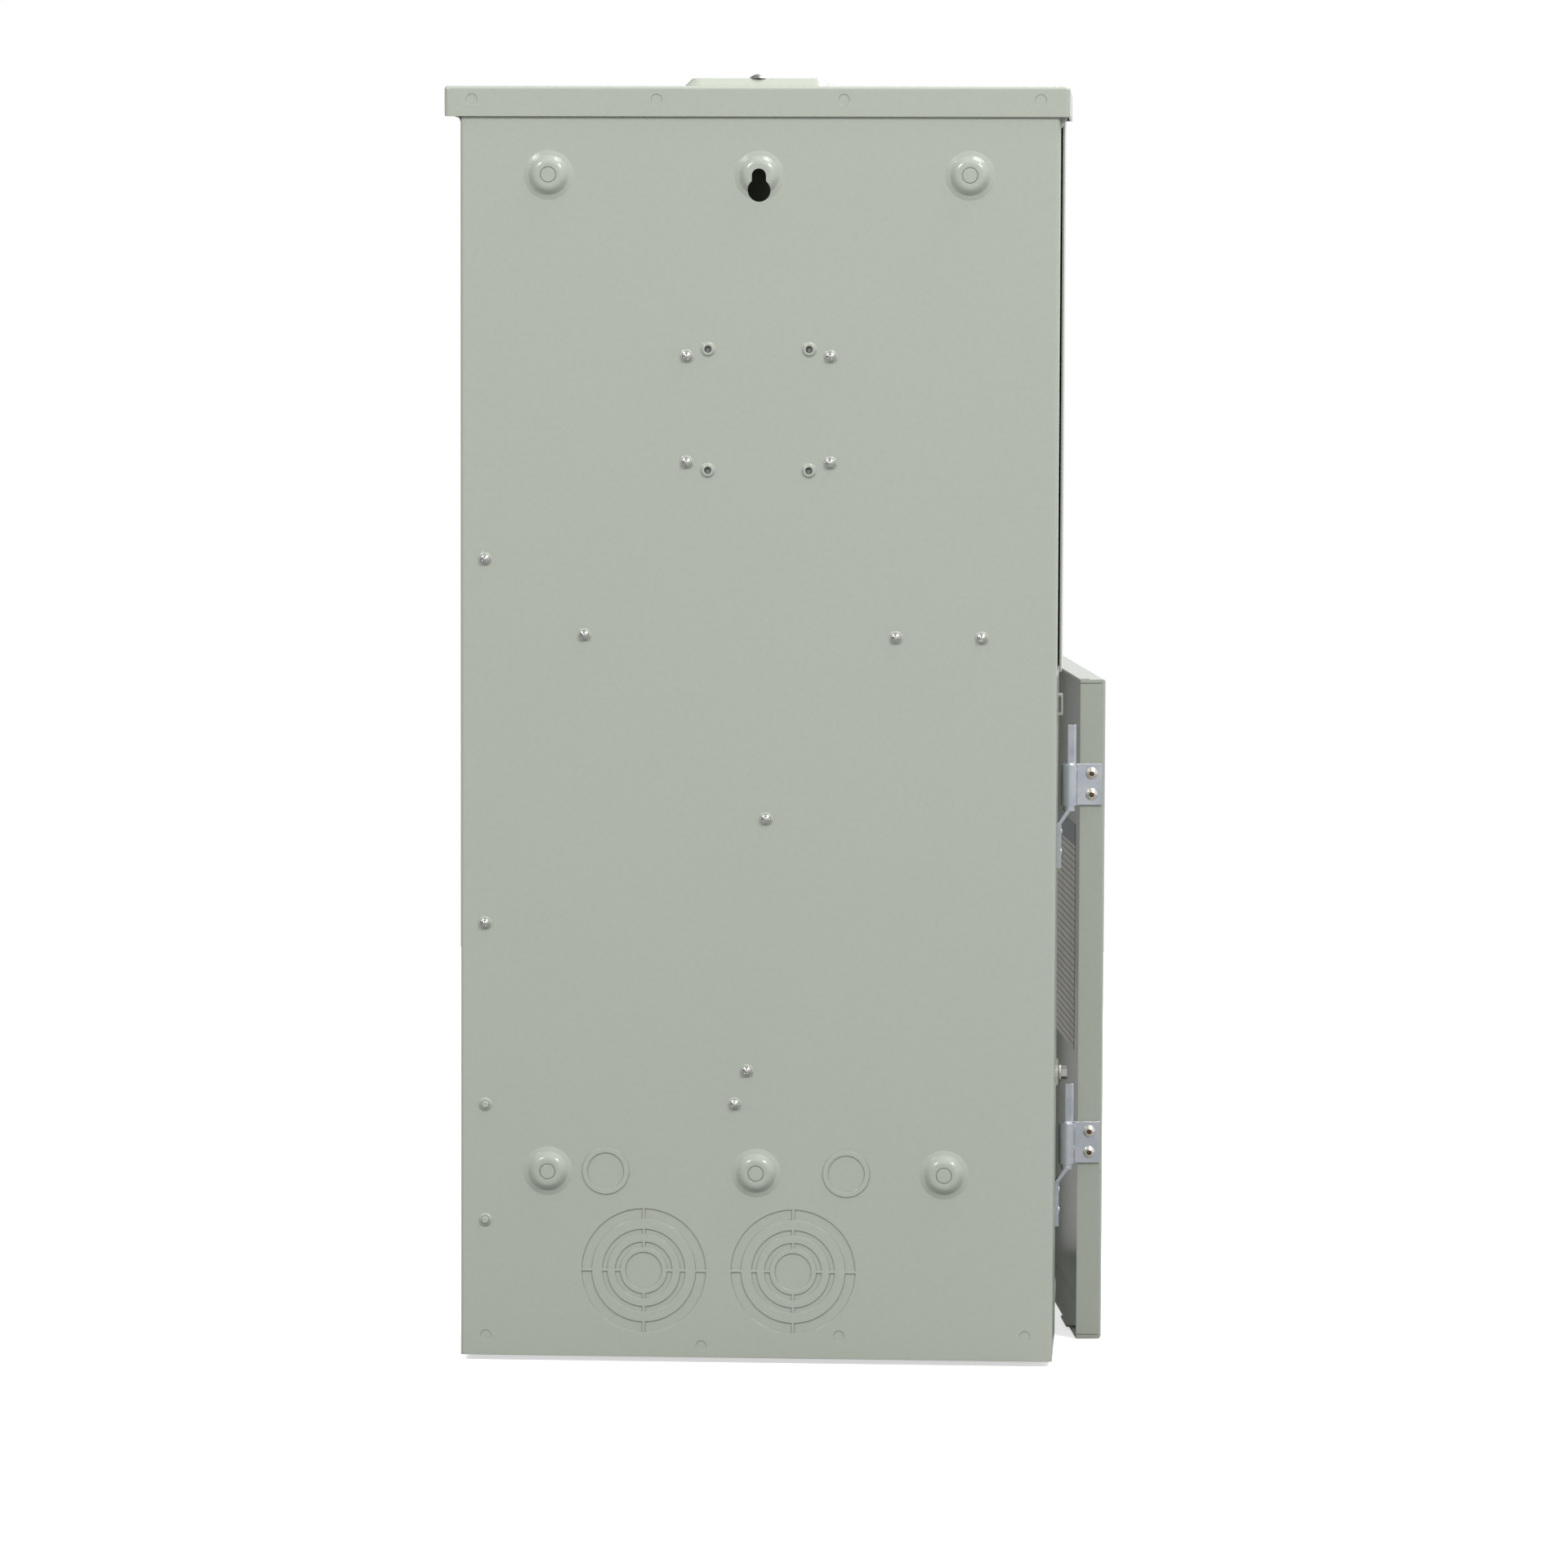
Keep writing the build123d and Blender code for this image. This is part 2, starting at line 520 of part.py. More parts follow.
def compartment_barrier():
    """The shelf between the two compartments, slotted for the load straps."""
    sheet = block((-177, 153), (STEEL, 104), (452, 452 + COVER_STEEL))
    sheet += block((-150, -70), (STEEL, STEEL + COVER_STEEL), (428, 453))
    sheet += block((-177, 153), (104 - COVER_STEEL, 104), (452, 462))
    for side in (-1, 1):
        low, high = sorted((side * 31, side * 55))
        sheet -= block((low, high), (22, 35), (450, 455))
    for across, height in BARRIER_SCREWS:
        sheet -= rod_y(across, height, SCREW_RADIUS + SCREW_CLEARANCE, (0, 5))
    return sheet


# ---- fasteners through the back plate ------------------------------------------------------
def panel_screw(across, height, grip):
    """A hex washer head screw; its point comes through the back plate."""
    shank = rod_y(across, height, SCREW_RADIUS, (-1.7, grip))
    point = cone_y(across, height, (0.7, SCREW_RADIUS), (-3.0, -1.7))
    washer = rod_y(across, height, 5.2, (grip, grip + 1))
    return shank + point + washer + hex_head(across, height, 4.2, (grip + 1, grip + 4.5))


def side_screw():
    """The same screw, put in from outside through the hinge side of the box."""
    forward, height = SIDE_SCREW
    seat = SIDE_X - SIDE_PAD_RISE
    shank = rod_x(forward, height, SCREW_RADIUS, (seat - 1, SIDE_X + 4.5))
    washer = rod_x(forward, height, 4.0, (seat - 0.6, seat))
    washer += rod_x(forward, height, 5.7, (seat - 1.8, seat - 0.5))
    hexagon = extrude(RegularPolygon(4.3, 6), 3.7)
    return shank + washer + Pos(seat - 1.8, y_at(forward), height) * Rot(0, -90, 0) * hexagon


def panel_screws():
    screws = Part()
    for across, height in SOCKET_SCREWS:
        screws += panel_screw(across, height, 10)
    screws += panel_screw(*NEUTRAL_SCREW, 8)
    for across, height in BARRIER_SCREWS:
        screws += panel_screw(across, height, STEEL + COVER_STEEL)
    for across, height in INTERIOR_SCREWS:
        screws += panel_screw(across, height, PAN_FORWARD + STEEL)
    for across, height in CHANNEL_SCREWS:
        screws += panel_screw(across, height, STEEL + COVER_STEEL)
    return screws + side_screw()


# ---- breaker compartment -------------------------------------------------------------------
def interior_pan():
    """The galvanised pan that carries the bus, on feet, with posts for the dead front."""
    pan = block((-135, 135), (PAN_FORWARD, 24), (146, 406))
    pan -= block((STEEL - 135, 135 - STEEL), (PAN_FORWARD + STEEL, 25), (145, 407))
    for across, height in INTERIOR_SCREWS:
        pan += rod_y(across, height, 8, (STEEL, PAN_FORWARD + 0.5))
        pan -= rod_y(across, height, SCREW_RADIUS + SCREW_CLEARANCE, (0, 15))
    for side in (-1, 1):
        for height in POST_HEIGHTS:
            low, high = sorted((side * (POST_X - 5), side * (POST_X + 5)))
            reach = (PAN_FORWARD + 0.5, DEAD_FRONT_FACE - COVER_STEEL)
            pan += block((low, high), reach, (height - 5, height + 5))
            pan -= rod_y(side * POST_X, height, RIVET_HOLE, (DEAD_FRONT_FACE - 16, DEAD_FRONT_FACE))
    return pan


def bus_insulator():
    """The moulded base that holds the bus bars apart."""
    low = branch_row(BRANCH_ROWS - 1) - 12
    body = block((-34, 34), (PAN_FORWARD + STEEL, 32), (low, 282))
    body = fillet(body.edges().filter_by(Axis.Y), 4)
    for row in range(BRANCH_ROWS):
        height = branch_row(row)
        for side in (-1, 1):
            pocket = sorted((side * 20, side * 30))
            body -= block(pocket, (22, 33), (height - 8, height + 8))
    body -= rod_y(*INTERIOR_SCREWS[1], 8.5, (12, 33))
    return body + block((-1.2, 1.2), (31, 38), (low + 2, 280))


def bus_bar(side, rows):
    """One live bus bar; its stabs reach across the middle in front of the other bar."""
    low, high = sorted((side * 3.5, side * 15))
    bar = block((low, high), (32, 35), (branch_row(BRANCH_ROWS - 1) - 9, 287.5))
    for row in rows:
        height = branch_row(row)
        bar += block((low, high), (34.5, 41), (height - 6, height + 6))
        bar += block((-15, 15), (39, 42), (height - 6, height + 6))
    return bar


def branch_case(side, top_row, poles):
    """A plug-in breaker case: low shoulders, a raised nose and a well for the toggle."""
    height = (branch_row(top_row) + branch_row(top_row + poles - 1)) / 2
    half = poles * BRANCH_PITCH / 2 - 0.25
    outline = Polygon((4, y_at(43)), (80, y_at(43)), (80, y_at(80)), (62, y_at(84)), (56, y_at(107)),
                      (16, y_at(107)), (12, y_at(88)), (4, y_at(88)), align=None)
    outline = fillet(outline.vertices(), 1.2)
    case = across_plan(outline, (height - half, height + half))
    case -= rod_z(BRANCH_PIVOT[0], BRANCH_PIVOT[1], 8.3, (height - 4.9, height + 4.9))
    case -= block((BRANCH_PIVOT[0] - 8.3, BRANCH_PIVOT[0] + 8.3), (BRANCH_PIVOT[1], 109),
                  (height - 4.9, height + 4.9))
    for pole in range(poles):
        centre = branch_row(top_row + pole)
        case -= rod_y(71, centre, 4.5, (72, 90))
        case -= block((76, 82), (56, 68), (centre - 5, centre + 5))
        if pole:
            seam = centre + BRANCH_PITCH / 2
            case -= block((3, 81), (106.4, 108), (seam - 0.4, seam + 0.4))
    return case if side > 0 else mirrored(case)


def branch_handle(side, top_row, poles):
    """A toggle in the ON position, leaning towards the middle of the panel."""
    height = (branch_row(top_row) + branch_row(top_row + poles - 1)) / 2
    across, forward = BRANCH_PIVOT
    drum = Cylinder(7.8, 9.0)
    lever = Pos(0, -11.5, 0) * Box(5.2, 13, 9.0)
    lever = fillet(lever.edges().filter_by(Axis.Z).group_by(Axis.Y)[0], 1.6)
    toggle = drum + lever
    toggle += Pos(0, -15.2, 0) * Box(5.2, 5.6, 9.0 if poles == 1 else 30.0)
    grip = Pos(0, -15.2, 0) * Box(7.2, 1.2, 8.0)
    toggle = Rot(0, 0, -BRANCH_ON_ANGLE) * (toggle + grip)
    toggle = Pos(across, y_at(forward), height) * toggle
    return toggle if side > 0 else mirrored(toggle)


def main_breaker_case():
    """The main breaker: a wide case with low terminal ends and a raised nose."""
    outline = Polygon((y_at(30), 288), (y_at(30), 398), (y_at(86), 398), (y_at(90), 384), (y_at(107), 380),
                      (y_at(107), 306), (y_at(90), 302), (y_at(86), 288), align=None)
    outline = fillet(outline.vertices(), 2)
    case = extrude(Plane.YZ * outline, 38, both=True)
    height, forward = MAIN_PIVOT
    case -= rod_x(forward, height, 12.4, (-12.6, 12.6))
    case -= block((-12.6, 12.6), (forward, 109), (height - 12.4, height + 12.4))
    case -= block((-39, -29), (89, 110), (280, 400))
    case -= block((29, 39), (89, 110), (280, 400))
    for side in (-1, 1):
        case -= rod_y(side * 20, 391, 4.6, (70, 92))
        case -= rod_y(side * 20, 295, 4.6, (70, 92))
    return case - block((-0.5, 0.5), (84, 92), (383, 399))


def main_breaker_handle():
    """The main toggle in the ON position, leaning up."""
    height, forward = MAIN_PIVOT
    drum = Rot(0, 90, 0) * Cylinder(12.0, 24.6)
    lever = Pos(0, -15, 0) * Box(24.6, 12, 7.5)
    lever = fillet(lever.edges().filter_by(Axis.X).group_by(Axis.Y)[0], 2.5)
    ridges = Part()
    for step in (-1, 0, 1):
        ridges += Pos(0, -16 + 2.2 * step, 0) * Box(20, 0.9, 8.7)
    toggle = Rot(-MAIN_ON_ANGLE, 0, 0) * (drum + lever + ridges)
    return Pos(0, y_at(forward), height) * toggle


def dead_front_windows():
    windows = block((-29.6, 29.6), (100, 110), (301, 385))
    low = branch_row(BRANCH_ROWS - 1) - BRANCH_PITCH / 2
    high = branch_row(0) + BRANCH_PITCH / 2
    for side in (-1, 1):
        window = sorted((side * 10.5, side * 60.5))
        windows += block(window, (100, 110), (low - 0.3, high + 0.3))
    return windows


def dead_front():
    """The inner cover: only the breaker noses and toggles come through it."""
    half = BOX_WIDTH / 2 - STEEL - 3.6
    sheet = block((-half, half), (DEAD_FRONT_FACE - 11, DEAD_FRONT_FACE), (22, 430))
    sheet = fillet(sheet.edges().filter_by(Axis.Z).group_by(Axis.Y)[0], 1.5)
    sheet -= block((COVER_STEEL - half, half - COVER_STEEL), (90, DEAD_FRONT_FACE - COVER_STEEL),
                   (22 + COVER_STEEL, 430 - COVER_STEEL))
    sheet -= dead_front_windows()
    for side in (-1, 1):
        for height in POST_HEIGHTS:
            sheet -= rod_y(side * POST_X, height, 2.3, (100, 110))
    return sheet


def dead_front_screws():
    screws = Part()
    for side in (-1, 1):
        for height in POST_HEIGHTS:
            across = side * POST_X
            head = cone_y(across, height, (4.4, 3.2), (DEAD_FRONT_FACE, DEAD_FRONT_FACE + 2.4))
            slot = block((across - 3.6, across + 3.6), (DEAD_FRONT_FACE + 1.4, DEAD_FRONT_FACE + 3),
                         (height - 0.6, height + 0.6))
            screws += head - slot + rod_y(across, height, 2.0, (DEAD_FRONT_FACE - 12, DEAD_FRONT_FACE))
    return screws


def filler_plates():
    """Blank plates in the two unused breaker spaces."""
    height = branch_row(BRANCH_ROWS - 1)
    plates = Part()
    for side in (-1, 1):
        low, high = sorted((side * 10.9, side * 60.1))
        face = block((low, high), (DEAD_FRONT_FACE - 2, DEAD_FRONT_FACE + 1), (height - 12.2, height + 12.2))
        plates += fillet(face.faces().sort_by(Axis.Y)[0].edges(), 0.8)
        for lift in (-8, 8):
            prong = (side * 35.5 - 8, side * 35.5 + 8)
            plates += block(prong, (86, DEAD_FRONT_FACE - 1.5), (height + lift - 1, height + lift + 1))
    return plates


def terminal_heights(bar):
    low, high, count = bar[2:]
    pitch = (high - low) / (count + 1)
    return [low + pitch * (index + 1) for index in range(count)]


def terminal_bar(bar):
    """A terminal bar: a cross hole for each wire and a clamping screw from the front."""
    across, forward, low, high, _ = bar
    solid = block((across - BAR_HALF, across + BAR_HALF), (forward, forward + 12), (low, high))
    for height in terminal_heights(bar):
        solid -= rod_x(forward + 4.5, height, 2.6, (across - 8, across + 8))
        solid -= rod_y(across, height, 2.36, (forward + 5, forward + 13))
    return solid


def neutral_bar():
    return terminal_bar(NEUTRAL_BAR)


def neutral_standoffs():
    across, forward, low, high, _ = NEUTRAL_BAR
    posts = Part()
    for height in (low + 4, high - 4):
        posts += rod_y(across, height, 5.5, (PAN_FORWARD + STEEL, forward))
        posts -= rod_y(across, height, 4.6, (20, 28)) - rod_y(across, height, 4.0, (20, 28))
    return posts


def ground_bar():
    solid = terminal_bar(GROUND_BAR)
    for across, height in GROUND_PINS:
        solid -= rod_y(across, height, SCREW_RADIUS + SCREW_CLEARANCE, (10, 20))
    return solid


def ground_bar_pins():
    """Shouldered pins through the back plate that carry the ground bar."""
    pins = Part()
    for across, height in GROUND_PINS:
        pin = rod_y(across, height, SCREW_RADIUS, (-1.9, 16))
        pin += rod_y(across, height, 4.2, (STEEL, GROUND_BAR[1]))
        pins += fillet(pin.faces().sort_by(Axis.Y)[-1].edges(), 0.8)
    return pins


def bar_screws():
    screws = Part()
    for bar in (NEUTRAL_BAR, GROUND_BAR):
        across, forward = bar[:2]
        for height in terminal_heights(bar):
            screw = rod_y(across, height, 2.3, (forward + 7.2, forward + 12))
            head = rod_y(across, height, 3.6, (forward + 12, forward + 15))
            slot = block((across - 4, across + 4), (forward + 14, forward + 16), (height - 0.5, height + 0.5))
            screws += screw + head - slot
    return screws


def side_channel():
    """An angle that keeps the service wires apart along the right side."""
    flange = block((154.6, 174), (STEEL, STEEL + COVER_STEEL), (254, 490))
    web = block((154.6, 154.6 + COVER_STEEL), (STEEL, 72), (254, 490))
    channel = flange + web
    for across, height in CHANNEL_SCREWS:
        channel -= rod_y(across, height, SCREW_RADIUS + SCREW_CLEARANCE, (0, 5))
    return channel


# ---- door, drawn shut and then swung open --------------------------------------------------
def door():
    """A shallow pan that closes over the front edge of the box.

    Its upper flange is notched where it crosses the box sides.
    """
    half = PAN_HALF_WIDTH
    rim = DOOR_FRONT - DOOR_PAN_DEPTH
    outer = block((-half, half), (rim, DOOR_FRONT), (DOOR_BOTTOM, DOOR_TOP))
    outer = fillet(outer.faces().sort_by(Axis.Y)[0].edges(), 1.8)
    inner = block((COVER_STEEL - half, half - COVER_STEEL), (rim - 1, DOOR_FRONT - COVER_STEEL),
                  (DOOR_BOTTOM + COVER_STEEL, DOOR_TOP - COVER_STEEL))
    pan = outer - inner
    pan -= rod_y(LATCH_X, LATCH_HEIGHT, LATCH_SHAFT_RADIUS + 0.06, (DOOR_FRONT - 5, DOOR_FRONT + 2))
    for underside in HINGE_HEIGHTS:
        for lift in LEAF_RIVET_LIFTS:
            pan -= rod_x(LEAF_RIVET_FORWARD, underside + lift, RIVET_HOLE, (-half - 1, -half + 3))
    edge = (DOOR_TOP - COVER_STEEL - 0.1, DOOR_TOP + 1)
    inside = half - COVER_STEEL
    for across in ((-inside, 7.5 - inside), (inside - 4, inside)):
        pan -= block(across, (rim - 1, BOX_DEPTH + 0.8), edge)
    for low, high in ((DOOR_TOP - 2.6, DOOR_TOP - 2.2), (DOOR_BOTTOM + 2.2, DOOR_BOTTOM + 2.6)):
        pan -= block((-half - 1, -half + 0.7), (rim - 1, DOOR_FRONT - 2.5), (low, high))
    return swung_open(pan)


def door_label():
    """A blank paper label on the inside of the door."""
    face = DOOR_FRONT - COVER_STEEL
    return swung_open(block((-3, 125), (face - 0.25, face), (156, 302)))


def door_bottom_tab():
    """A welded tab on the lower flange that reaches under the box when the door is shut."""
    rim = DOOR_FRONT - DOOR_PAN_DEPTH
    top = DOOR_BOTTOM + COVER_STEEL
    tab = block((-145, -106), (rim - 2.5, rim + 12), (top, top + 1.2))
    return swung_open(fillet(tab.edges().filter_by(Axis.Z).group_by(Axis.Y)[-1], 1.8))


def latch_knob():
    """The quarter-turn knob with its shaft, in the unlatched position."""
    shaft = rod_y(LATCH_X, LATCH_HEIGHT, LATCH_SHAFT_RADIUS, (107, DOOR_FRONT + 2))
    base = cone_y(LATCH_X, LATCH_HEIGHT, (14.0, 12.0), (DOOR_FRONT + 0.3, DOOR_FRONT + 3.5))
    grip = block((LATCH_X - 2.8, LATCH_X + 2.8), (DOOR_FRONT + 3.4, DOOR_FRONT + 11),
                 (LATCH_HEIGHT - 11, LATCH_HEIGHT + 11))
    grip = fillet(grip.edges().filter_by(Axis.X).group_by(Axis.Y)[0], 4)
    return swung_open(shaft + base + grip)


def latch_cam():
    """The cam that turns behind the keeper."""
    outline = Pos(0, -8) * Rectangle(11, 16) + Circle(8) + Pos(0, -16) * Circle(5.5)
    cam = across_front(Pos(LATCH_X, LATCH_HEIGHT) * outline, (107.4, 109.8))
    return swung_open(cam - rod_y(LATCH_X, LATCH_HEIGHT, LATCH_SHAFT_RADIUS, (105, 112)))


def latch_keeper():
    """The catch on the box side that the cam turns behind."""
    wall = BOX_WIDTH / 2 - STEEL
    leg = block((wall - COVER_STEEL, wall), (105.6, 112.8), (188, 216))
    catch = block((160.5, wall), (111.6, 112.8), (188, 216))
    return leg + catch


# ---- hinges --------------------------------------------------------------------------------
def hinge_leaf(underside):
    """The door half of a lift-off hinge: a plate rolled round the pin."""
    heights = (underside, underside + HINGE_HEIGHT)
    outside = -PAN_HALF_WIDTH
    plate = block((outside - LEAF_THICKNESS, outside), (HINGE_FORWARD, HINGE_FORWARD + 20.6), heights)
    knuckle = rod_z(HINGE_X, HINGE_FORWARD, KNUCKLE_RADIUS, heights)
    leaf = plate + knuckle - rod_z(HINGE_X, HINGE_FORWARD, KNUCKLE_RADIUS - LEAF_THICKNESS,
                                   (heights[0] - 1, heights[1] + 1))
    for lift in LEAF_RIVET_LIFTS:
        leaf -= rod_x(LEAF_RIVET_FORWARD, underside + lift, RIVET_HOLE, (outside - 3, outside + 1))
    return swung_open(leaf)


def leaf_rivets():
    """Blind rivets that fix the hinge leaves to the door."""
    outside = -PAN_HALF_WIDTH - LEAF_THICKNESS
    tail = SIDE_X - 0.3
    rivets = Part()
    for underside in HINGE_HEIGHTS:
        for lift in LEAF_RIVET_LIFTS:
            height = underside + lift
            centre = Pos(outside + 3.6, y_at(LEAF_RIVET_FORWARD), height)
            dome = centre * Sphere(5.2) & block((outside - 2, outside), (105, 125), (height - 6, height + 6))
            rivet = dome + rod_x(LEAF_RIVET_FORWARD, height, RIVET_RADIUS, (outside - 0.5, tail))
            rivet += rod_x(LEAF_RIVET_FORWARD, height, 2.3, (COVER_STEEL - PAN_HALF_WIDTH, tail))
            rivets += rivet - rod_x(LEAF_RIVET_FORWARD, height, 1.5, (outside - 3, outside + 0.2))
    return swung_open(rivets)


def hinge_strap(underside):
    """The box half: a strip riveted to the side, cranked out into a pin with a flat tongue above."""
    wall_x = SIDE_X - STRAP_THICKNESS / 2
    top = underside - 0.4
    path = ((HINGE_X, top - STRAP_THICKNESS / 2), (HINGE_X, top - 2.2), (wall_x, underside - 11),
            (wall_x, underside - 38.5))
    strip = extrude(bent_strip(path, STRAP_THICKNESS), 5.5, both=True)
    strip = Pos(0, y_at(HINGE_FORWARD), 0) * Rot(90, 0, 0) * strip
    for drop in STRAP_RIVET_DROPS:
        strip -= rod_x(HINGE_FORWARD, underside - drop, RIVET_HOLE, (SIDE_X - 4, SIDE_X + 1))
    pin = rod_z(HINGE_X, HINGE_FORWARD, PIN_RADIUS, (top - 3, underside + HINGE_HEIGHT + 0.6))
    tongue = block((HINGE_X - 4.3, HINGE_X + 1.0), (HINGE_FORWARD - 1.7, HINGE_FORWARD + 1.7),
                   (underside + HINGE_HEIGHT + 0.3, underside + TONGUE_TOP))
    tongue = fillet(tongue.edges().filter_by(Axis.Z).group_by(Axis.X)[0], 1.6)
    return strip + pin + tongue


def strap_rivets():
    rivets = Part()
    for underside in HINGE_HEIGHTS:
        for drop in STRAP_RIVET_DROPS:
            height = underside - drop
            face = SIDE_X - STRAP_THICKNESS
            centre = Pos(face + 2.6, y_at(HINGE_FORWARD), height)
            dome = centre * Sphere(3.9) & block((face - 2, face), (90, 110), (height - 5, height + 5))
            rivets += dome + rod_x(HINGE_FORWARD, height, RIVET_RADIUS, (face - 0.3, SIDE_X + STEEL))
            rivets += rod_x(HINGE_FORWARD, height, 3.2, (SIDE_X + STEEL, SIDE_X + STEEL + 1.4))
    return rivets


# ---- write every sub-part ------------------------------------------------------------------
def all_parts():
    parts = {
        "back_box": back_box(),
        "bottom_endwall": bottom_endwall(),
        "top_endwall": top_endwall(),
        "drip_hood": drip_hood(),
        "hub_closing_plate": hub_closing_plate(),
        "hub_plate_screws": hub_plate_screws(),
        "meter_cover": meter_cover(),
        "seal_bracket": seal_bracket(),
        "seal_hasp": seal_hasp(),
        "socket_block_right": socket_block(),
        "socket_block_left": mirrored(socket_block()),
        "line_jaw_right": line_jaw(),
        "line_jaw_left": mirrored(line_jaw()),
        "load_jaw_right": load_jaw(),
        "load_jaw_left": mirrored(load_jaw()),
        "line_lug_right": line_lug(),
        "line_lug_left": mirrored(line_lug()),
        "neutral_lug": neutral_lug(),
        "lug_screws": lug_screws(),
        "load_strap_right": load_strap(),
        "load_strap_left": mirrored(load_strap()),
        "compartment_barrier": compartment_barrier(),
        "panel_screws": panel_screws(),
        "interior_pan": interior_pan(),
        "bus_insulator": bus_insulator(),
        "bus_bar_left": bus_bar(-1, (0, 2)),
        "bus_bar_right": bus_bar(1, (1, 3)),
        "main_breaker_case": main_breaker_case(),
        "main_breaker_handle": main_breaker_handle(),
        "neutral_bar": neutral_bar(),
        "neutral_standoffs": neutral_standoffs(),
        "ground_bar": ground_bar(),
        "ground_bar_pins": ground_bar_pins(),
        "bar_screws": bar_screws(),
        "side_channel": side_channel(),
        "dead_front": dead_front(),
        "dead_front_screws": dead_front_screws(),
        "filler_plates": filler_plates(),
        "door": door(),
        "door_label": door_label(),
        "door_bottom_tab": door_bottom_tab(),
        "latch_knob": latch_knob(),
        "latch_cam": latch_cam(),
        "latch_keeper": latch_keeper(),
        "leaf_rivets": leaf_rivets(),
        "strap_rivets": strap_rivets(),
    }
    for number, branch in enumerate(BRANCHES, start=1):
        parts[f"branch_{number}_case"] = branch_case(*branch)
        parts[f"branch_{number}_handle"] = branch_handle(*branch)
    for name, underside in zip(("upper", "lower"), HINGE_HEIGHTS):
        parts[f"hinge_leaf_{name}"] = hinge_leaf(underside)
        parts[f"hinge_strap_{name}"] = hinge_strap(underside)
    return parts


os.makedirs("parts", exist_ok=True)
for node, shape in all_parts().items():
    export_step(shape, f"parts/{node}.step")
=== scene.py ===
import json
import math

import bmesh
import bpy
from mathutils import Matrix, Vector


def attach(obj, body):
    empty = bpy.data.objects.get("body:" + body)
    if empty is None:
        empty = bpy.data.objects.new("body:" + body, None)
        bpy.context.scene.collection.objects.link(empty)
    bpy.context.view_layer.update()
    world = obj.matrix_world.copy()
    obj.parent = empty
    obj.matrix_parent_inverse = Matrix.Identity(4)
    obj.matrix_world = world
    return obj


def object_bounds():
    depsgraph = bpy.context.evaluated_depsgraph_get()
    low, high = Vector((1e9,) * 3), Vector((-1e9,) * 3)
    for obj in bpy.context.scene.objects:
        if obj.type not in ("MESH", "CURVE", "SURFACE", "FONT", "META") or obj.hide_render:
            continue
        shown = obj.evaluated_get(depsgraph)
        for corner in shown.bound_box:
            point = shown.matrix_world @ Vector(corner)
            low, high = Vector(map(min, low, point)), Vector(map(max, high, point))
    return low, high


# An outdoor meter socket and load center, seen from behind with its door open. The CAD frame is
# loaded as it is; this script gives every piece its material and adds the small trim.
# Metres, +Z up, the back plate faces +Y.

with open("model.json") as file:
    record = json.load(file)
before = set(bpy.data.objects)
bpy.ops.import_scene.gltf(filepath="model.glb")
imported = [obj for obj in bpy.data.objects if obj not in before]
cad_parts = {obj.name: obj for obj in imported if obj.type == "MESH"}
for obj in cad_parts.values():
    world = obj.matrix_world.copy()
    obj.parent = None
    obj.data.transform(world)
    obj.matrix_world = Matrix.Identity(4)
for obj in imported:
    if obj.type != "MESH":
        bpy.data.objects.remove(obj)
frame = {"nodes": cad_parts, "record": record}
nodes = frame["nodes"]
cad_low, cad_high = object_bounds()

DOOR_ANGLE = math.radians(84)               # how far the door stands open at rest
DOOR_ALONG = Vector((math.cos(DOOR_ANGLE), -math.sin(DOOR_ANGLE), 0))   # hinge side to latch side
HINGE = Vector((-0.1859, -0.0442, 0))       # the door's hinge line
BACK_FACE = 0.056                           # y of the back plate's outer face

# Places of the trim, in millimetres: across, height, and forward of the back plate's outer face.
HINGE_UNDERSIDES = (328.8, 107.0)
LEAF_RIVET_LIFTS = (19.3, 6.4)
LEAF_RIVET_FORWARD = 114.3
LEAF_FACE = -183.2
METER_HEIGHT = 572
ACCESSORY_HOLE_ACROSS = 30.3
ACCESSORY_HOLE_LIFT = 36.15
BACK_SCREWS = ((43.0, 603.9), (-43.0, 603.9), (43.0, 540.6), (-43.0, 540.6), (104.2, 436.9),
               (-82.8, 436.3), (-134.2, 436.3), (-5.2, 326.9), (5.8, 174.6), (13.1, 154.4),
               (164.1, 482.1), (164.1, 262.7))
BRANCH_TERMINAL_ACROSS = 71
BRANCH_TERMINAL_TOP = 262
BREAKER_PITCH = 25.4
MAIN_TERMINAL_HEIGHTS = (391, 295)
JAW_ACROSS = 43
JAW_RISE = 46                               # of the jaws above and below the meter's centre


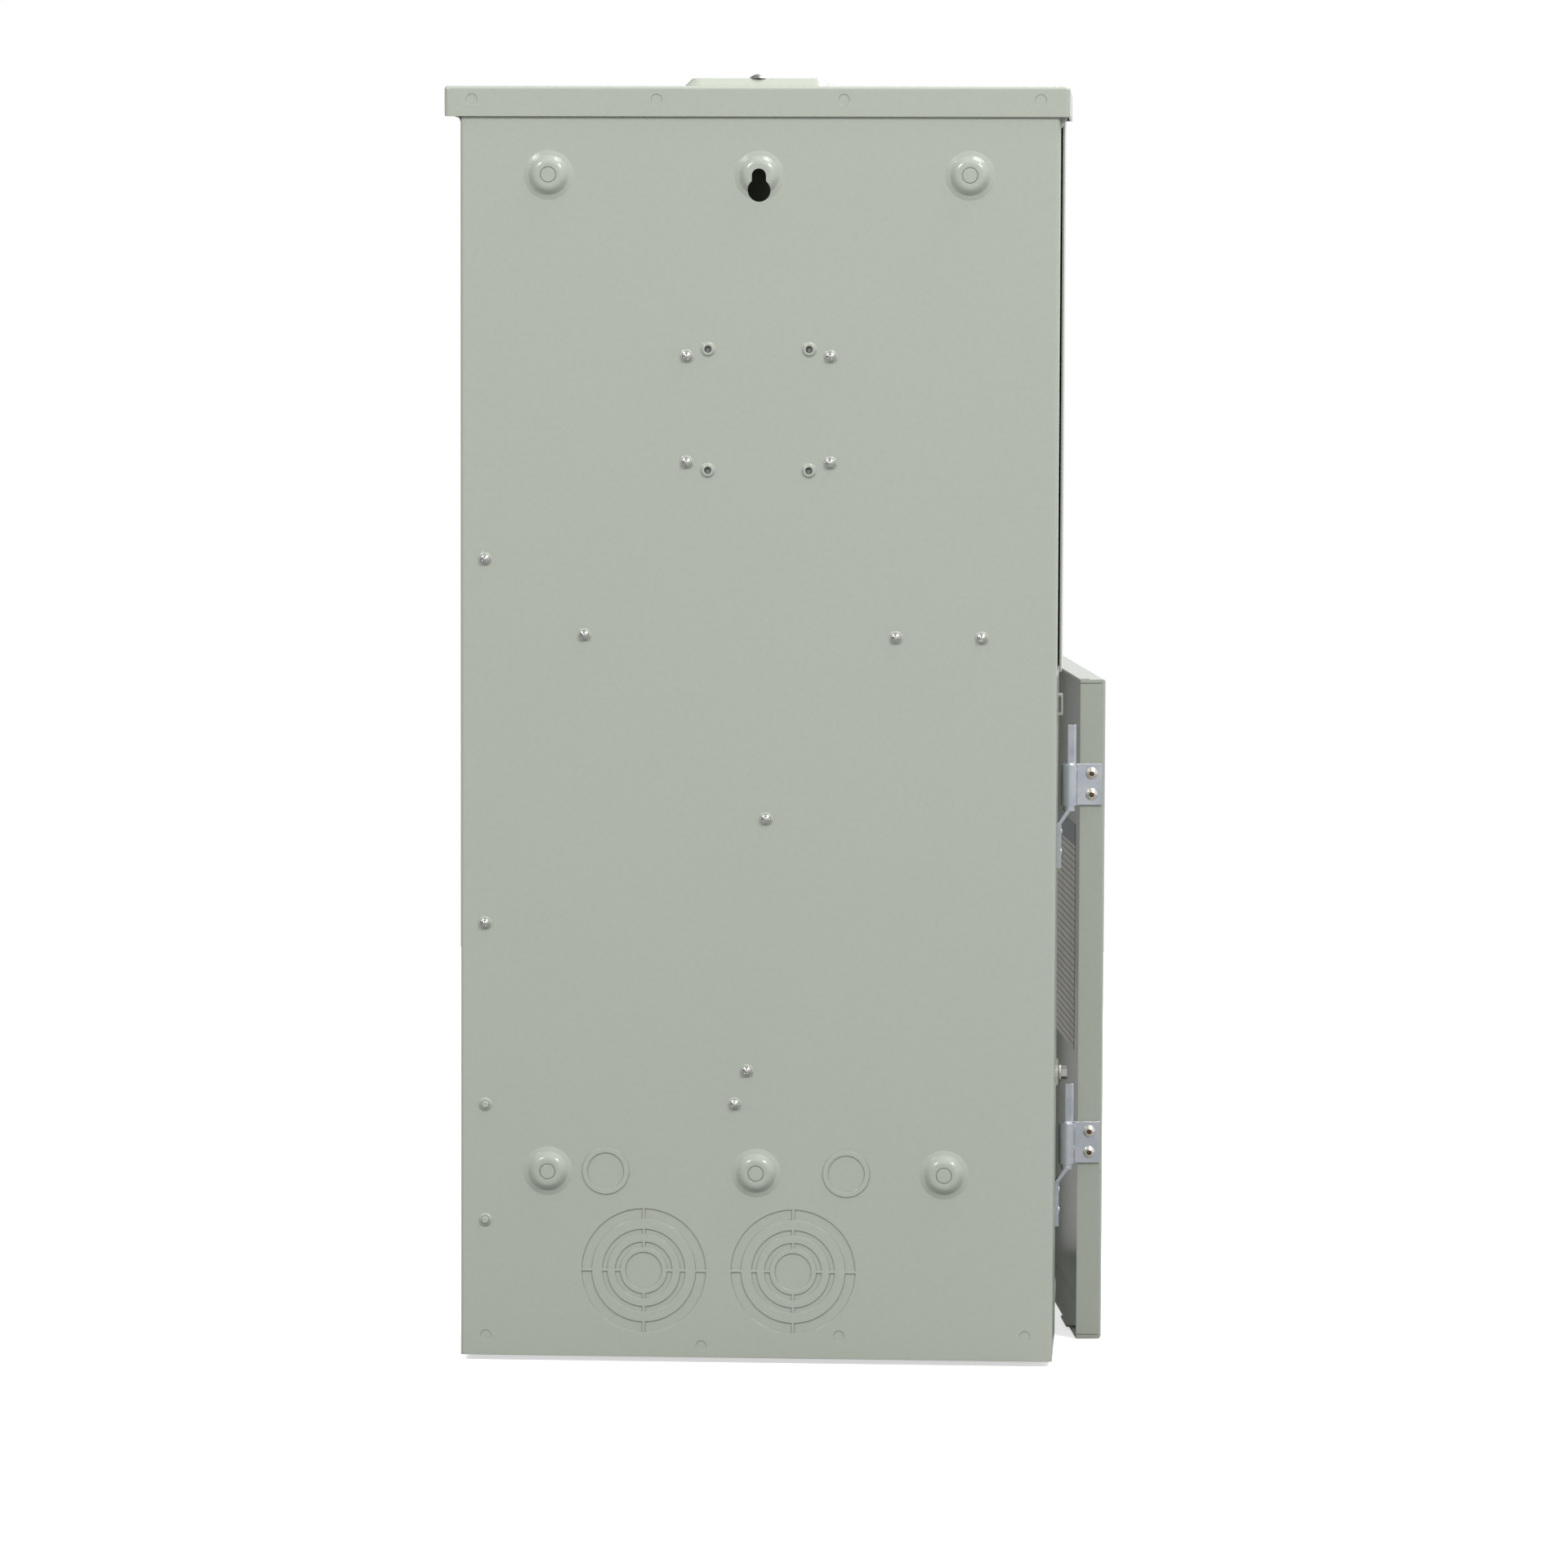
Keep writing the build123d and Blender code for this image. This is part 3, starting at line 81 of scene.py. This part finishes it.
# ---- shader helpers ------------------------------------------------------------------------
class Shader:
    """A material under construction: a Principled shader and short calls for common nodes."""

    def __init__(self, name, metallic=0.0, specular=0.5):
        self.material = bpy.data.materials.new(name)
        self.material.use_nodes = True
        self.tree = self.material.node_tree
        self.surface = self.tree.nodes["Principled BSDF"]
        self.surface.inputs["Metallic"].default_value = metallic
        self.surface.inputs["Specular IOR Level"].default_value = specular
        self.place = self.tree.nodes.new("ShaderNodeTexCoord").outputs["Object"]

    def node(self, kind, links=None, **settings):
        made = self.tree.nodes.new(kind)
        for key, value in settings.items():
            setattr(made, key, value)
        for key, value in (links or {}).items():
            socket = made.inputs[key]
            if isinstance(value, bpy.types.NodeSocket):
                self.tree.links.new(value, socket)
            else:
                socket.default_value = value
        return made

    def stretched(self, scale):
        return self.node("ShaderNodeMapping", {"Vector": self.place, "Scale": scale}).outputs["Vector"]

    def noise(self, scale, detail=2.0, stretch=None):
        place = self.stretched(stretch) if stretch else self.place
        made = self.node("ShaderNodeTexNoise", {"Vector": place, "Scale": scale, "Detail": detail})
        return made.outputs["Fac"]

    def ramp(self, value, low, high, start=0.0, end=1.0):
        made = self.node("ShaderNodeMapRange", {"Value": value, "From Min": start, "From Max": end,
                                                "To Min": low, "To Max": high})
        return made.outputs["Result"]

    def math(self, operation, a, b=0.0):
        return self.node("ShaderNodeMath", {0: a, 1: b}, operation=operation).outputs["Value"]

    def mix(self, factor, a, b, blend="MIX"):
        made = self.tree.nodes.new("ShaderNodeMix")
        made.data_type = "RGBA"
        made.blend_type = blend
        for index, value in ((0, factor), (6, a), (7, b)):
            if isinstance(value, bpy.types.NodeSocket):
                self.tree.links.new(value, made.inputs[index])
            elif index:
                made.inputs[index].default_value = (*value, 1.0)
            else:
                made.inputs[index].default_value = value
        return made.outputs[2]

    def edges(self, radius):
        """A normal rounded over sharp edges, and a mask that is 1 on them."""
        rounded = self.node("ShaderNodeBevel", {"Radius": radius}, samples=4).outputs["Normal"]
        true = self.node("ShaderNodeNewGeometry").outputs["Normal"]
        same = self.node("ShaderNodeVectorMath", {0: rounded, 1: true}, operation="DOT_PRODUCT")
        return rounded, self.ramp(same.outputs["Value"], 1.0, 0.0, 0.85, 0.995)

    def bump(self, height, distance, strength, normal=None):
        links = {"Height": height, "Distance": distance, "Strength": strength}
        if normal is not None:
            links["Normal"] = normal
        return self.node("ShaderNodeBump", links).outputs["Normal"]

    def creases(self, distance):
        """1 in the open and towards 0 in narrow creases."""
        made = self.node("ShaderNodeAmbientOcclusion", {"Distance": distance}, samples=4)
        return made.outputs["AO"]

    def finish(self, colour, roughness, normal=None):
        for name, value in (("Base Color", colour), ("Roughness", roughness), ("Normal", normal)):
            if isinstance(value, bpy.types.NodeSocket):
                self.tree.links.new(value, self.surface.inputs[name])
            elif isinstance(value, tuple):
                self.surface.inputs[name].default_value = (*value, 1.0)
            elif value is not None:
                self.surface.inputs[name].default_value = value
        return self.material


def srgb(red, green, blue):
    """A display colour, 0 to 255, as the linear colour that shaders use."""
    def linear(channel):
        share = channel / 255
        return share / 12.92 if share <= 0.04045 else ((share + 0.055) / 1.055) ** 2.4
    return tuple(linear(channel) for channel in (red, green, blue))


# ---- materials -----------------------------------------------------------------------------
def painted_steel():
    """Baked grey-green enamel: orange peel, slightly uneven tone, with painted shade darkening the creases.
    """
    s = Shader("enamel", specular=0.45)
    rounded, edge = s.edges(0.0007)
    tone = s.mix(s.ramp(s.noise(9, 3), 0, 1, 0.3, 0.7), srgb(166, 172, 161), srgb(168, 173, 162))
    tone = s.mix(s.ramp(s.noise(320, 2), 0, 0.25, 0.45, 0.75), tone, srgb(158, 162, 152))
    tone = s.mix(s.math("MULTIPLY", edge, 0.35), tone, srgb(196, 198, 192))
    # painted shade: narrow creases darkened towards a dark grey-brown
    crease_shade = s.ramp(s.creases(0.004), 0.55, 0.0, 0.25, 0.85)
    tone = s.mix(crease_shade, tone, srgb(92, 92, 82))
    gloss = s.ramp(s.noise(45, 3), 0.15, 0.22)
    normal = s.bump(s.noise(11, 1), 0.0016, 0.10, rounded)
    normal = s.bump(s.noise(620, 2), 0.00012, 0.35, normal)
    return s.finish(tone, gloss, normal)


def zinc_plate():
    """Blue-clear zinc over rolled strip: cloudy, with faint rolling lines."""
    s = Shader("zinc_plate", metallic=1.0)
    rounded, edge = s.edges(0.0004)
    cloud = s.ramp(s.noise(95, 4), 0, 1, 0.32, 0.68)
    tone = s.mix(cloud, srgb(184, 190, 200), srgb(204, 208, 212))
    # painted highlight: the edges turned near-white, as if catching the overhead light
    tone = s.mix(s.math("MULTIPLY", edge, 0.9), tone, srgb(250, 251, 252))
    lines = s.noise(160, 3, stretch=(1, 1, 9))
    gloss = s.ramp(lines, 0.24, 0.42)
    normal = s.bump(lines, 0.0001, 0.25, rounded)
    return s.finish(tone, gloss, normal)


def bright_screw():
    s = Shader("bright_screw", metallic=1.0)
    rounded, edge = s.edges(0.0003)
    tone = s.mix(s.noise(420, 3), srgb(196, 194, 188), srgb(222, 222, 220))
    tone = s.mix(s.math("MULTIPLY", edge, 0.5), tone, srgb(240, 240, 240))
    # painted shade: the screw's creases darkened towards brown
    crease_shade = s.ramp(s.creases(0.0015), 0.7, 0.0, 0.2, 0.8)
    tone = s.mix(crease_shade, tone, srgb(82, 74, 66))
    normal = s.bump(s.noise(1500, 2), 0.00005, 0.4, rounded)
    return s.finish(tone, s.ramp(s.noise(260, 2), 0.16, 0.34), normal)


def rivet_metal():
    s = Shader("rivet_metal", metallic=1.0)
    tone = s.mix(s.noise(500, 3), srgb(205, 198, 186), srgb(232, 228, 220))
    # painted shade: the rivet's creases darkened towards brown
    tone = s.mix(s.ramp(s.creases(0.0018), 0.9, 0.0, 0.15, 0.75), tone, srgb(70, 55, 44))
    normal = s.bump(s.noise(1300, 2), 0.00006, 0.35)
    return s.finish(tone, s.ramp(s.noise(300, 2), 0.18, 0.32), normal)


def tinned_bus():
    s = Shader("tinned_bus", metallic=1.0)
    rounded, edge = s.edges(0.0004)
    cloud = s.ramp(s.noise(140, 4), 0, 1, 0.3, 0.7)
    tone = s.mix(cloud, srgb(186, 186, 182), srgb(206, 206, 204))
    tone = s.mix(s.math("MULTIPLY", edge, 0.35), tone, srgb(205, 170, 140))
    normal = s.bump(s.noise(260, 3, stretch=(1, 1, 6)), 0.0001, 0.3, rounded)
    return s.finish(tone, s.ramp(cloud, 0.30, 0.44), normal)


def extruded_aluminium():
    s = Shader("extruded_aluminium", metallic=1.0)
    rounded, edge = s.edges(0.0005)
    lines = s.noise(700, 3, stretch=(1, 1, 0.04))
    tone = s.mix(lines, srgb(196, 198, 200), srgb(219, 220, 221))
    tone = s.mix(s.math("MULTIPLY", edge, 0.4), tone, srgb(240, 240, 240))
    normal = s.bump(lines, 0.0001, 0.45, rounded)
    return s.finish(tone, s.ramp(lines, 0.26, 0.40), normal)


def moulded_grey():
    """Mineral-filled insulating compound with pale flecks."""
    s = Shader("moulded_grey", specular=0.4)
    rounded, edge = s.edges(0.0006)
    flecks = s.ramp(s.noise(900, 2), 0, 1, 0.62, 0.74)
    tone = s.mix(flecks, srgb(72, 73, 75), srgb(108, 108, 106))
    tone = s.mix(s.math("MULTIPLY", edge, 0.4), tone, srgb(120, 120, 118))
    normal = s.bump(s.noise(500, 3), 0.0001, 0.4, rounded)
    return s.finish(tone, s.ramp(s.noise(70, 2), 0.5, 0.66), normal)


def moulded_black(name, tone, gloss, grain):
    """Spark-eroded moulded plastic: a fine even grain, rubbed a little paler on its edges."""
    s = Shader(name, specular=0.45)
    rounded, edge = s.edges(0.0006)
    colour = s.mix(s.noise(130, 3), srgb(tone, tone, tone + 1), srgb(tone + 8, tone + 8, tone + 8))
    colour = s.mix(s.math("MULTIPLY", edge, 0.3), colour, srgb(96, 96, 96))
    normal = s.bump(s.noise(grain, 2), 0.00012, 0.5, rounded)
    return s.finish(colour, s.ramp(s.noise(60, 2), gloss - 0.07, gloss + 0.07), normal)


def label_paper():
    """A blank directory card: ruled rows and two columns, with no writing."""
    s = Shader("label_paper", specular=0.35)
    along = s.node("ShaderNodeVectorMath", {0: s.place, 1: tuple(DOOR_ALONG)}, operation="DOT_PRODUCT")
    height = s.node("ShaderNodeSeparateXYZ", {0: s.place}).outputs["Z"]
    grid_place = s.node("ShaderNodeCombineXYZ", {"X": along.outputs["Value"], "Y": height})
    grid = s.node("ShaderNodeTexBrick",
                  {"Vector": grid_place.outputs[0], "Scale": 1.0, "Mortar Size": 0.00035,
                   "Mortar Smooth": 0.1, "Brick Width": 0.058, "Row Height": 0.0042},
                  offset=0.0)
    paper = s.mix(s.noise(260, 3), srgb(214, 211, 203), srgb(226, 224, 217))
    tone = s.mix(grid.outputs["Fac"], paper, srgb(96, 98, 102))
    header = s.ramp(height, 0, 1, 0.2879, 0.2881)
    tone = s.mix(header, tone, srgb(150, 154, 158))
    return s.finish(tone, 0.55, s.bump(s.noise(700, 3), 0.00005, 0.3))


def mandrel_steel():
    """Dull brown steel, for the broken ends inside the blind rivets."""
    s = Shader("mandrel_steel", metallic=1.0)
    tone = s.mix(s.noise(700, 3), srgb(92, 72, 58), srgb(120, 98, 84))
    return s.finish(tone, 0.45, s.bump(s.noise(1500, 2), 0.00005, 0.5))


def seal_grey():
    """Matt grey compound, for the seals in the unused holes."""
    s = Shader("seal_grey", specular=0.2)
    tone = s.mix(s.noise(400, 3), srgb(118, 120, 117), srgb(134, 136, 133))
    return s.finish(tone, 0.7, s.bump(s.noise(900, 2), 0.00005, 0.5))


MATERIALS = {
    "painted_steel": painted_steel(),
    "zinc_plated_steel": zinc_plate(),
    "bright_screw_steel": bright_screw(),
    "nickel_rivet": rivet_metal(),
    "tinned_bus": tinned_bus(),
    "bare_aluminium": extruded_aluminium(),
    "phenolic_grey": moulded_grey(),
    "breaker_black": moulded_black("breaker_black", 34, 0.48, 900),
    "toggle_black": moulded_black("toggle_black", 28, 0.42, 1400),
    "latch_black": moulded_black("latch_black", 38, 0.38, 1100),
    "label_paper": label_paper(),
}


def dress_cad_nodes():
    for entry in frame["record"]["subparts"]:
        mesh = nodes[entry["node"]].data
        mesh.materials.clear()
        mesh.materials.append(MATERIALS[entry["material_slot"]])


dress_cad_nodes()


# ---- small trim ----------------------------------------------------------------------------
def y_at(forward):
    """The y of a distance in millimetres in front of the back plate's outer face."""
    return BACK_FACE - forward / 1000


def swung(across, forward, height):
    """Where a point drawn with the door shut, in millimetres, stands at rest."""
    arm = Vector((across / 1000, y_at(forward), height / 1000)) - HINGE
    return HINGE + Matrix.Rotation(-DOOR_ANGLE, 3, "Z") @ arm


def aimed(direction):
    """A turn that takes +Z to a direction."""
    return Vector(direction).to_track_quat("Z", "Y").to_matrix().to_4x4()


def lathe(mesh, place, profile, steps=28):
    """Adds a turned shape: the profile is (radius, distance along the axis) from end to end."""
    rings = []
    for radius, along in profile:
        ring = []
        for step in range(steps):
            turn = 2 * math.pi * step / steps
            spot = Vector((radius * math.cos(turn), radius * math.sin(turn), along))
            ring.append(mesh.verts.new(place @ spot))
        rings.append(ring)
    for lower, upper in zip(rings, rings[1:]):
        for step in range(steps):
            after = (step + 1) % steps
            mesh.faces.new((lower[step], lower[after], upper[after], upper[step]))
    mesh.faces.new(tuple(reversed(rings[0])))
    mesh.faces.new(tuple(rings[-1]))


def half_discs(mesh, place, radius, gap, low, high, steps=14):
    """Adds the two halves of a slotted screw head, one on each side of its slot."""
    start = math.asin(gap / radius)
    for side in (1, -1):
        base = []
        crown = []
        for step in range(steps + 1):
            turn = start + (math.pi - 2 * start) * step / steps
            across = radius * math.cos(turn)
            out = radius * math.sin(turn)
            base.append(mesh.verts.new(place @ Vector((across, side * out, low))))
            crown.append(mesh.verts.new(place @ Vector((0.88 * across, side * max(gap, 0.88 * out), high))))
        for step in range(steps + 1):
            after = (step + 1) % (steps + 1)
            mesh.faces.new((base[step], base[after], crown[after], crown[step]))
        mesh.faces.new(tuple(crown))


def helix(mesh, place, radii, heights, turns, ridge, steps=20):
    """Adds a thread: a sharp ridge wound round a tapering point."""
    total = int(turns * steps)
    pitch = (heights[1] - heights[0]) / turns
    rows = []
    for step in range(total + 1):
        share = step / total
        turn = 2 * math.pi * step / steps
        radius = radii[0] + (radii[1] - radii[0]) * share
        along = heights[0] + (heights[1] - heights[0]) * share
        row = []
        for out, lift in ((-0.0001, -0.32 * pitch), (ridge, 0.0), (-0.0001, 0.32 * pitch)):
            reach = radius + out
            spot = Vector((reach * math.cos(turn), reach * math.sin(turn), along + lift))
            row.append(mesh.verts.new(place @ spot))
        rows.append(row)
    for before, after in zip(rows, rows[1:]):
        mesh.faces.new((before[0], after[0], after[1], before[1]))
        mesh.faces.new((before[1], after[1], after[2], before[2]))
        mesh.faces.new((before[2], after[2], after[0], before[0]))
    mesh.faces.new(tuple(rows[0]))
    mesh.faces.new(tuple(reversed(rows[-1])))


def strip(mesh, path, heights, thickness):
    """Adds a band bent in plan along a path of (across, forward) points, in millimetres."""
    columns = []
    for index, (across, forward) in enumerate(path):
        before = Vector(path[max(index - 1, 0)])
        after = Vector(path[min(index + 1, len(path) - 1)])
        along = (after - before).normalized()
        normal = Vector((-along.y, along.x)) * thickness / 2
        column = []
        for height in heights:
            for sign in (-1, 1):
                x, f = across + sign * normal.x, forward + sign * normal.y
                column.append(mesh.verts.new((x / 1000, y_at(f), height / 1000)))
        columns.append(column)
    for near, far in zip(columns, columns[1:]):
        for a, b in ((0, 1), (1, 3), (3, 2), (2, 0)):
            mesh.faces.new((near[a], near[b], far[b], far[a]))
    for end in (columns[0], columns[-1]):
        mesh.faces.new((end[0], end[1], end[3], end[2]))


def piece(name, mesh, material_slot, body, material=None):
    """Turns a bmesh into a piece that rides on a body."""
    bmesh.ops.recalc_face_normals(mesh, faces=mesh.faces)
    data = bpy.data.meshes.new(name)
    mesh.to_mesh(data)
    mesh.free()
    made = bpy.data.objects.new(name, data)
    bpy.context.scene.collection.objects.link(made)
    data.materials.append(material or MATERIALS[material_slot])
    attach(made, body)
    return made


def rivet_mandrels():
    """The broken-off mandrel, dull and brown, sunk in each blind rivet."""
    mesh = bmesh.new()
    outline = ((0.0013, -0.0012), (0.0013, -0.0001), (0.001, 0.0002), (0.0004, 0.00035))
    for underside in HINGE_UNDERSIDES:
        for lift in LEAF_RIVET_LIFTS:
            spot = swung(LEAF_FACE, LEAF_RIVET_FORWARD, underside + lift)
            outward = spot - swung(LEAF_FACE + 3.2, LEAF_RIVET_FORWARD, underside + lift)
            lathe(mesh, Matrix.Translation(spot) @ aimed(outward), outline, 18)
    piece("rivet_mandrels", mesh, "nickel_rivet", "door", mandrel_steel())


def screw_threads():
    """Threads on the screw points that come through the back plate."""
    mesh = bmesh.new()
    for across, height in BACK_SCREWS:
        place = Matrix.Translation((across / 1000, BACK_FACE, height / 1000)) @ aimed((0, 1, 0))
        helix(mesh, place, (0.0023, 0.0023), (0.0002, 0.0017), 2, 0.00042)
        helix(mesh, place, (0.0023, 0.0010), (0.0017, 0.0028), 1.5, 0.00036)
    piece("screw_threads", mesh, "bright_screw_steel", "enclosure")


def hole_seals():
    """A thin grey seal inside each unused hole behind the meter socket."""
    mesh = bmesh.new()
    outline = ((0.002, 0.0), (0.00205, 0.0003), (0.0016, 0.0006), (0.0006, 0.0007))
    for across in (-ACCESSORY_HOLE_ACROSS, ACCESSORY_HOLE_ACROSS):
        for lift in (-ACCESSORY_HOLE_LIFT, ACCESSORY_HOLE_LIFT):
            spot = Vector((across / 1000, y_at(1.1), (METER_HEIGHT + lift) / 1000))
            lathe(mesh, Matrix.Translation(spot) @ aimed((0, 1, 0)), outline, 24)
    piece("hole_seals", mesh, "phenolic_grey", "enclosure", seal_grey())


def slotted_screw(mesh, across, height, forward, radius):
    """A clamping screw seen in the bottom of a terminal well, its slot a little turned."""
    turn = Matrix.Rotation(0.4 + across * 3 + height, 4, "Z")
    place = Matrix.Translation((across / 1000, y_at(forward), height / 1000)) @ aimed((0, -1, 0)) @ turn
    lathe(mesh, place, ((radius * 0.96, 0.0), (radius, 0.0003), (radius, 0.0011)), 26)
    half_discs(mesh, place, radius, 0.00045, 0.0011, 0.0020)


def terminal_screws():
    """The clamping screws of the branch breakers and of the main breaker's lugs."""
    mesh = bmesh.new()
    for side in (-1, 1):
        for row in range(3):
            height = BRANCH_TERMINAL_TOP - BREAKER_PITCH * row
            slotted_screw(mesh, side * BRANCH_TERMINAL_ACROSS, height, 72.6, 0.0040)
    for across in (-20, 20):
        for height in MAIN_TERMINAL_HEIGHTS:
            slotted_screw(mesh, across, height, 71.0, 0.0042)
    piece("terminal_screws", mesh, "bright_screw_steel", "enclosure")


def jaw_springs():
    """A spring clip bent round the back of each meter jaw."""
    mesh = bmesh.new()
    half = ((4.3, 52.5), (6.6, 49), (7.6, 40), (7.4, 30.5))
    path = half + tuple((-across, forward) for across, forward in reversed(half))
    for side in (-1, 1):
        placed = [(side * JAW_ACROSS + across, forward) for across, forward in path]
        for rise in (-JAW_RISE, JAW_RISE):
            for lift in (-5, 5):
                centre = METER_HEIGHT + rise + lift
                strip(mesh, placed, (centre - 2.6, centre + 2.6), 0.5)
    piece("jaw_springs", mesh, "bright_screw_steel", "enclosure")


rivet_mandrels()
screw_threads()
hole_seals()
terminal_screws()
jaw_springs()


# ---- stage, light and camera ---------------------------------------------------------------
def floor():
    """A white sheet for the camera, glowing more the farther out it is; as light it is a dull grey."""
    half = 2.4
    mesh = bpy.data.meshes.new("floor")
    low = cad_low.z - 0.0005
    corners = [(-half, -half, low), (half, -half, low), (half, half, low), (-half, half, low)]
    mesh.from_pydata(corners, [], [(0, 1, 2, 3)])
    ground = bpy.data.objects.new("floor", mesh)
    bpy.context.scene.collection.objects.link(ground)
    s = Shader("white_floor", specular=0.1)
    away = s.node("ShaderNodeVectorMath", {0: s.place}, operation="LENGTH").outputs["Value"]
    s.surface.inputs["Emission Color"].default_value = (1, 1, 1, 1)
    seen = s.node("ShaderNodeLightPath").outputs["Is Camera Ray"]
    glow = s.math("MULTIPLY", seen, s.ramp(away, 0.62, 1.2, 0.45, 1.6))
    s.tree.links.new(glow, s.surface.inputs["Emission Strength"])
    tone = s.mix(s.noise(3, 2), (0.84, 0.84, 0.84), (0.86, 0.86, 0.86))
    mesh.materials.append(s.finish(s.mix(seen, (0.28, 0.28, 0.28), tone), 0.9))


def area_light(name, place, target, size, power):
    light = bpy.data.lights.new(name, "AREA")
    light.shape = "RECTANGLE"
    light.size, light.size_y = size
    light.energy = power
    lamp = bpy.data.objects.new(name, light)
    lamp.location = place
    lamp.rotation_euler = (Vector(target) - Vector(place)).to_track_quat("-Z", "Y").to_euler()
    bpy.context.scene.collection.objects.link(lamp)


def studio():
    """White all round for the camera; as light it is strongest above, behind and on the hinge side.

    Reflections see white on the hinge side and a dimmer wall on the other.
    """
    world = bpy.data.worlds.new("studio")
    bpy.context.scene.world = world
    world.use_nodes = True
    tree = world.node_tree
    background = tree.nodes["Background"]
    ray = tree.nodes.new("ShaderNodeLightPath")
    place = tree.nodes.new("ShaderNodeTexCoord")
    facing = tree.nodes.new("ShaderNodeVectorMath")
    facing.operation = "DOT_PRODUCT"
    facing.inputs[1].default_value = (-0.45, 0.50, 0.74)
    tree.links.new(place.outputs["Generated"], facing.inputs[0])
    rise = tree.nodes.new("ShaderNodeMapRange")
    for name, value in (("From Min", -0.8), ("From Max", 0.9), ("To Min", 0.05), ("To Max", 0.68)):
        rise.inputs[name].default_value = value
    tree.links.new(facing.outputs["Value"], rise.inputs["Value"])
    split = tree.nodes.new("ShaderNodeSeparateXYZ")
    tree.links.new(place.outputs["Generated"], split.inputs[0])
    sheen = tree.nodes.new("ShaderNodeMapRange")
    for name, value in (("From Min", -0.05), ("From Max", 0.16), ("To Min", 0.95), ("To Max", 0.3)):
        sheen.inputs[name].default_value = value
    tree.links.new(split.outputs["X"], sheen.inputs["Value"])
    mirrored = tree.nodes.new("ShaderNodeMix")
    tree.links.new(ray.outputs["Is Glossy Ray"], mirrored.inputs[0])
    tree.links.new(rise.outputs["Result"], mirrored.inputs[2])
    tree.links.new(sheen.outputs["Result"], mirrored.inputs[3])
    strength = tree.nodes.new("ShaderNodeMix")
    tree.links.new(ray.outputs["Is Camera Ray"], strength.inputs[0])
    tree.links.new(mirrored.outputs[0], strength.inputs[2])
    strength.inputs[3].default_value = 1.0
    tree.links.new(strength.outputs[0], background.inputs["Strength"])
    background.inputs["Color"].default_value = (1, 1, 1, 1)
    area_light("right_softbox", (-2.4, 2.6, 3.2), (0, 0, 0.45), (0.9, 0.9), 96)
    area_light("left_softbox", (2.2, 3.0, 3.0), (0, 0, 0.45), (0.8, 0.8), 92)
    area_light("overhead", (-1.2, -0.3, 3.2), (-0.1, 0, 0.5), (1.6, 1.6), 75)
    area_light("front", (-1.0, -3.2, 2.6), (0, 0, 0.4), (1.8, 1.6), 32)
    bpy.context.scene.view_settings.view_transform = "Standard"


def photo_camera():
    """Behind the box, a little to the hinge side, just above mid height and tilted slightly down."""
    yaw, pitch, roll = 0.0578, 0.0750, 0.0035
    forward = Vector((math.sin(yaw) * math.cos(pitch), -math.cos(yaw) * math.cos(pitch), -math.sin(pitch)))
    right = forward.cross(Vector((0, 0, 1))).normalized()
    up = right.cross(forward)
    turned_right = right * math.cos(roll) + up * math.sin(roll)
    turned_up = up * math.cos(roll) - right * math.sin(roll)
    data = bpy.data.cameras.new("camera")
    data.sensor_width = 36
    data.lens = 141.0
    data.clip_start = 0.1
    data.clip_end = 60
    camera = bpy.data.objects.new("camera", data)
    turn = Matrix((turned_right, turned_up, -forward)).transposed()
    camera.matrix_world = Matrix.Translation((-0.2283, 3.7244, 0.6242)) @ turn.to_4x4()
    bpy.context.scene.collection.objects.link(camera)
    bpy.context.scene.camera = camera


floor()
studio()
photo_camera()
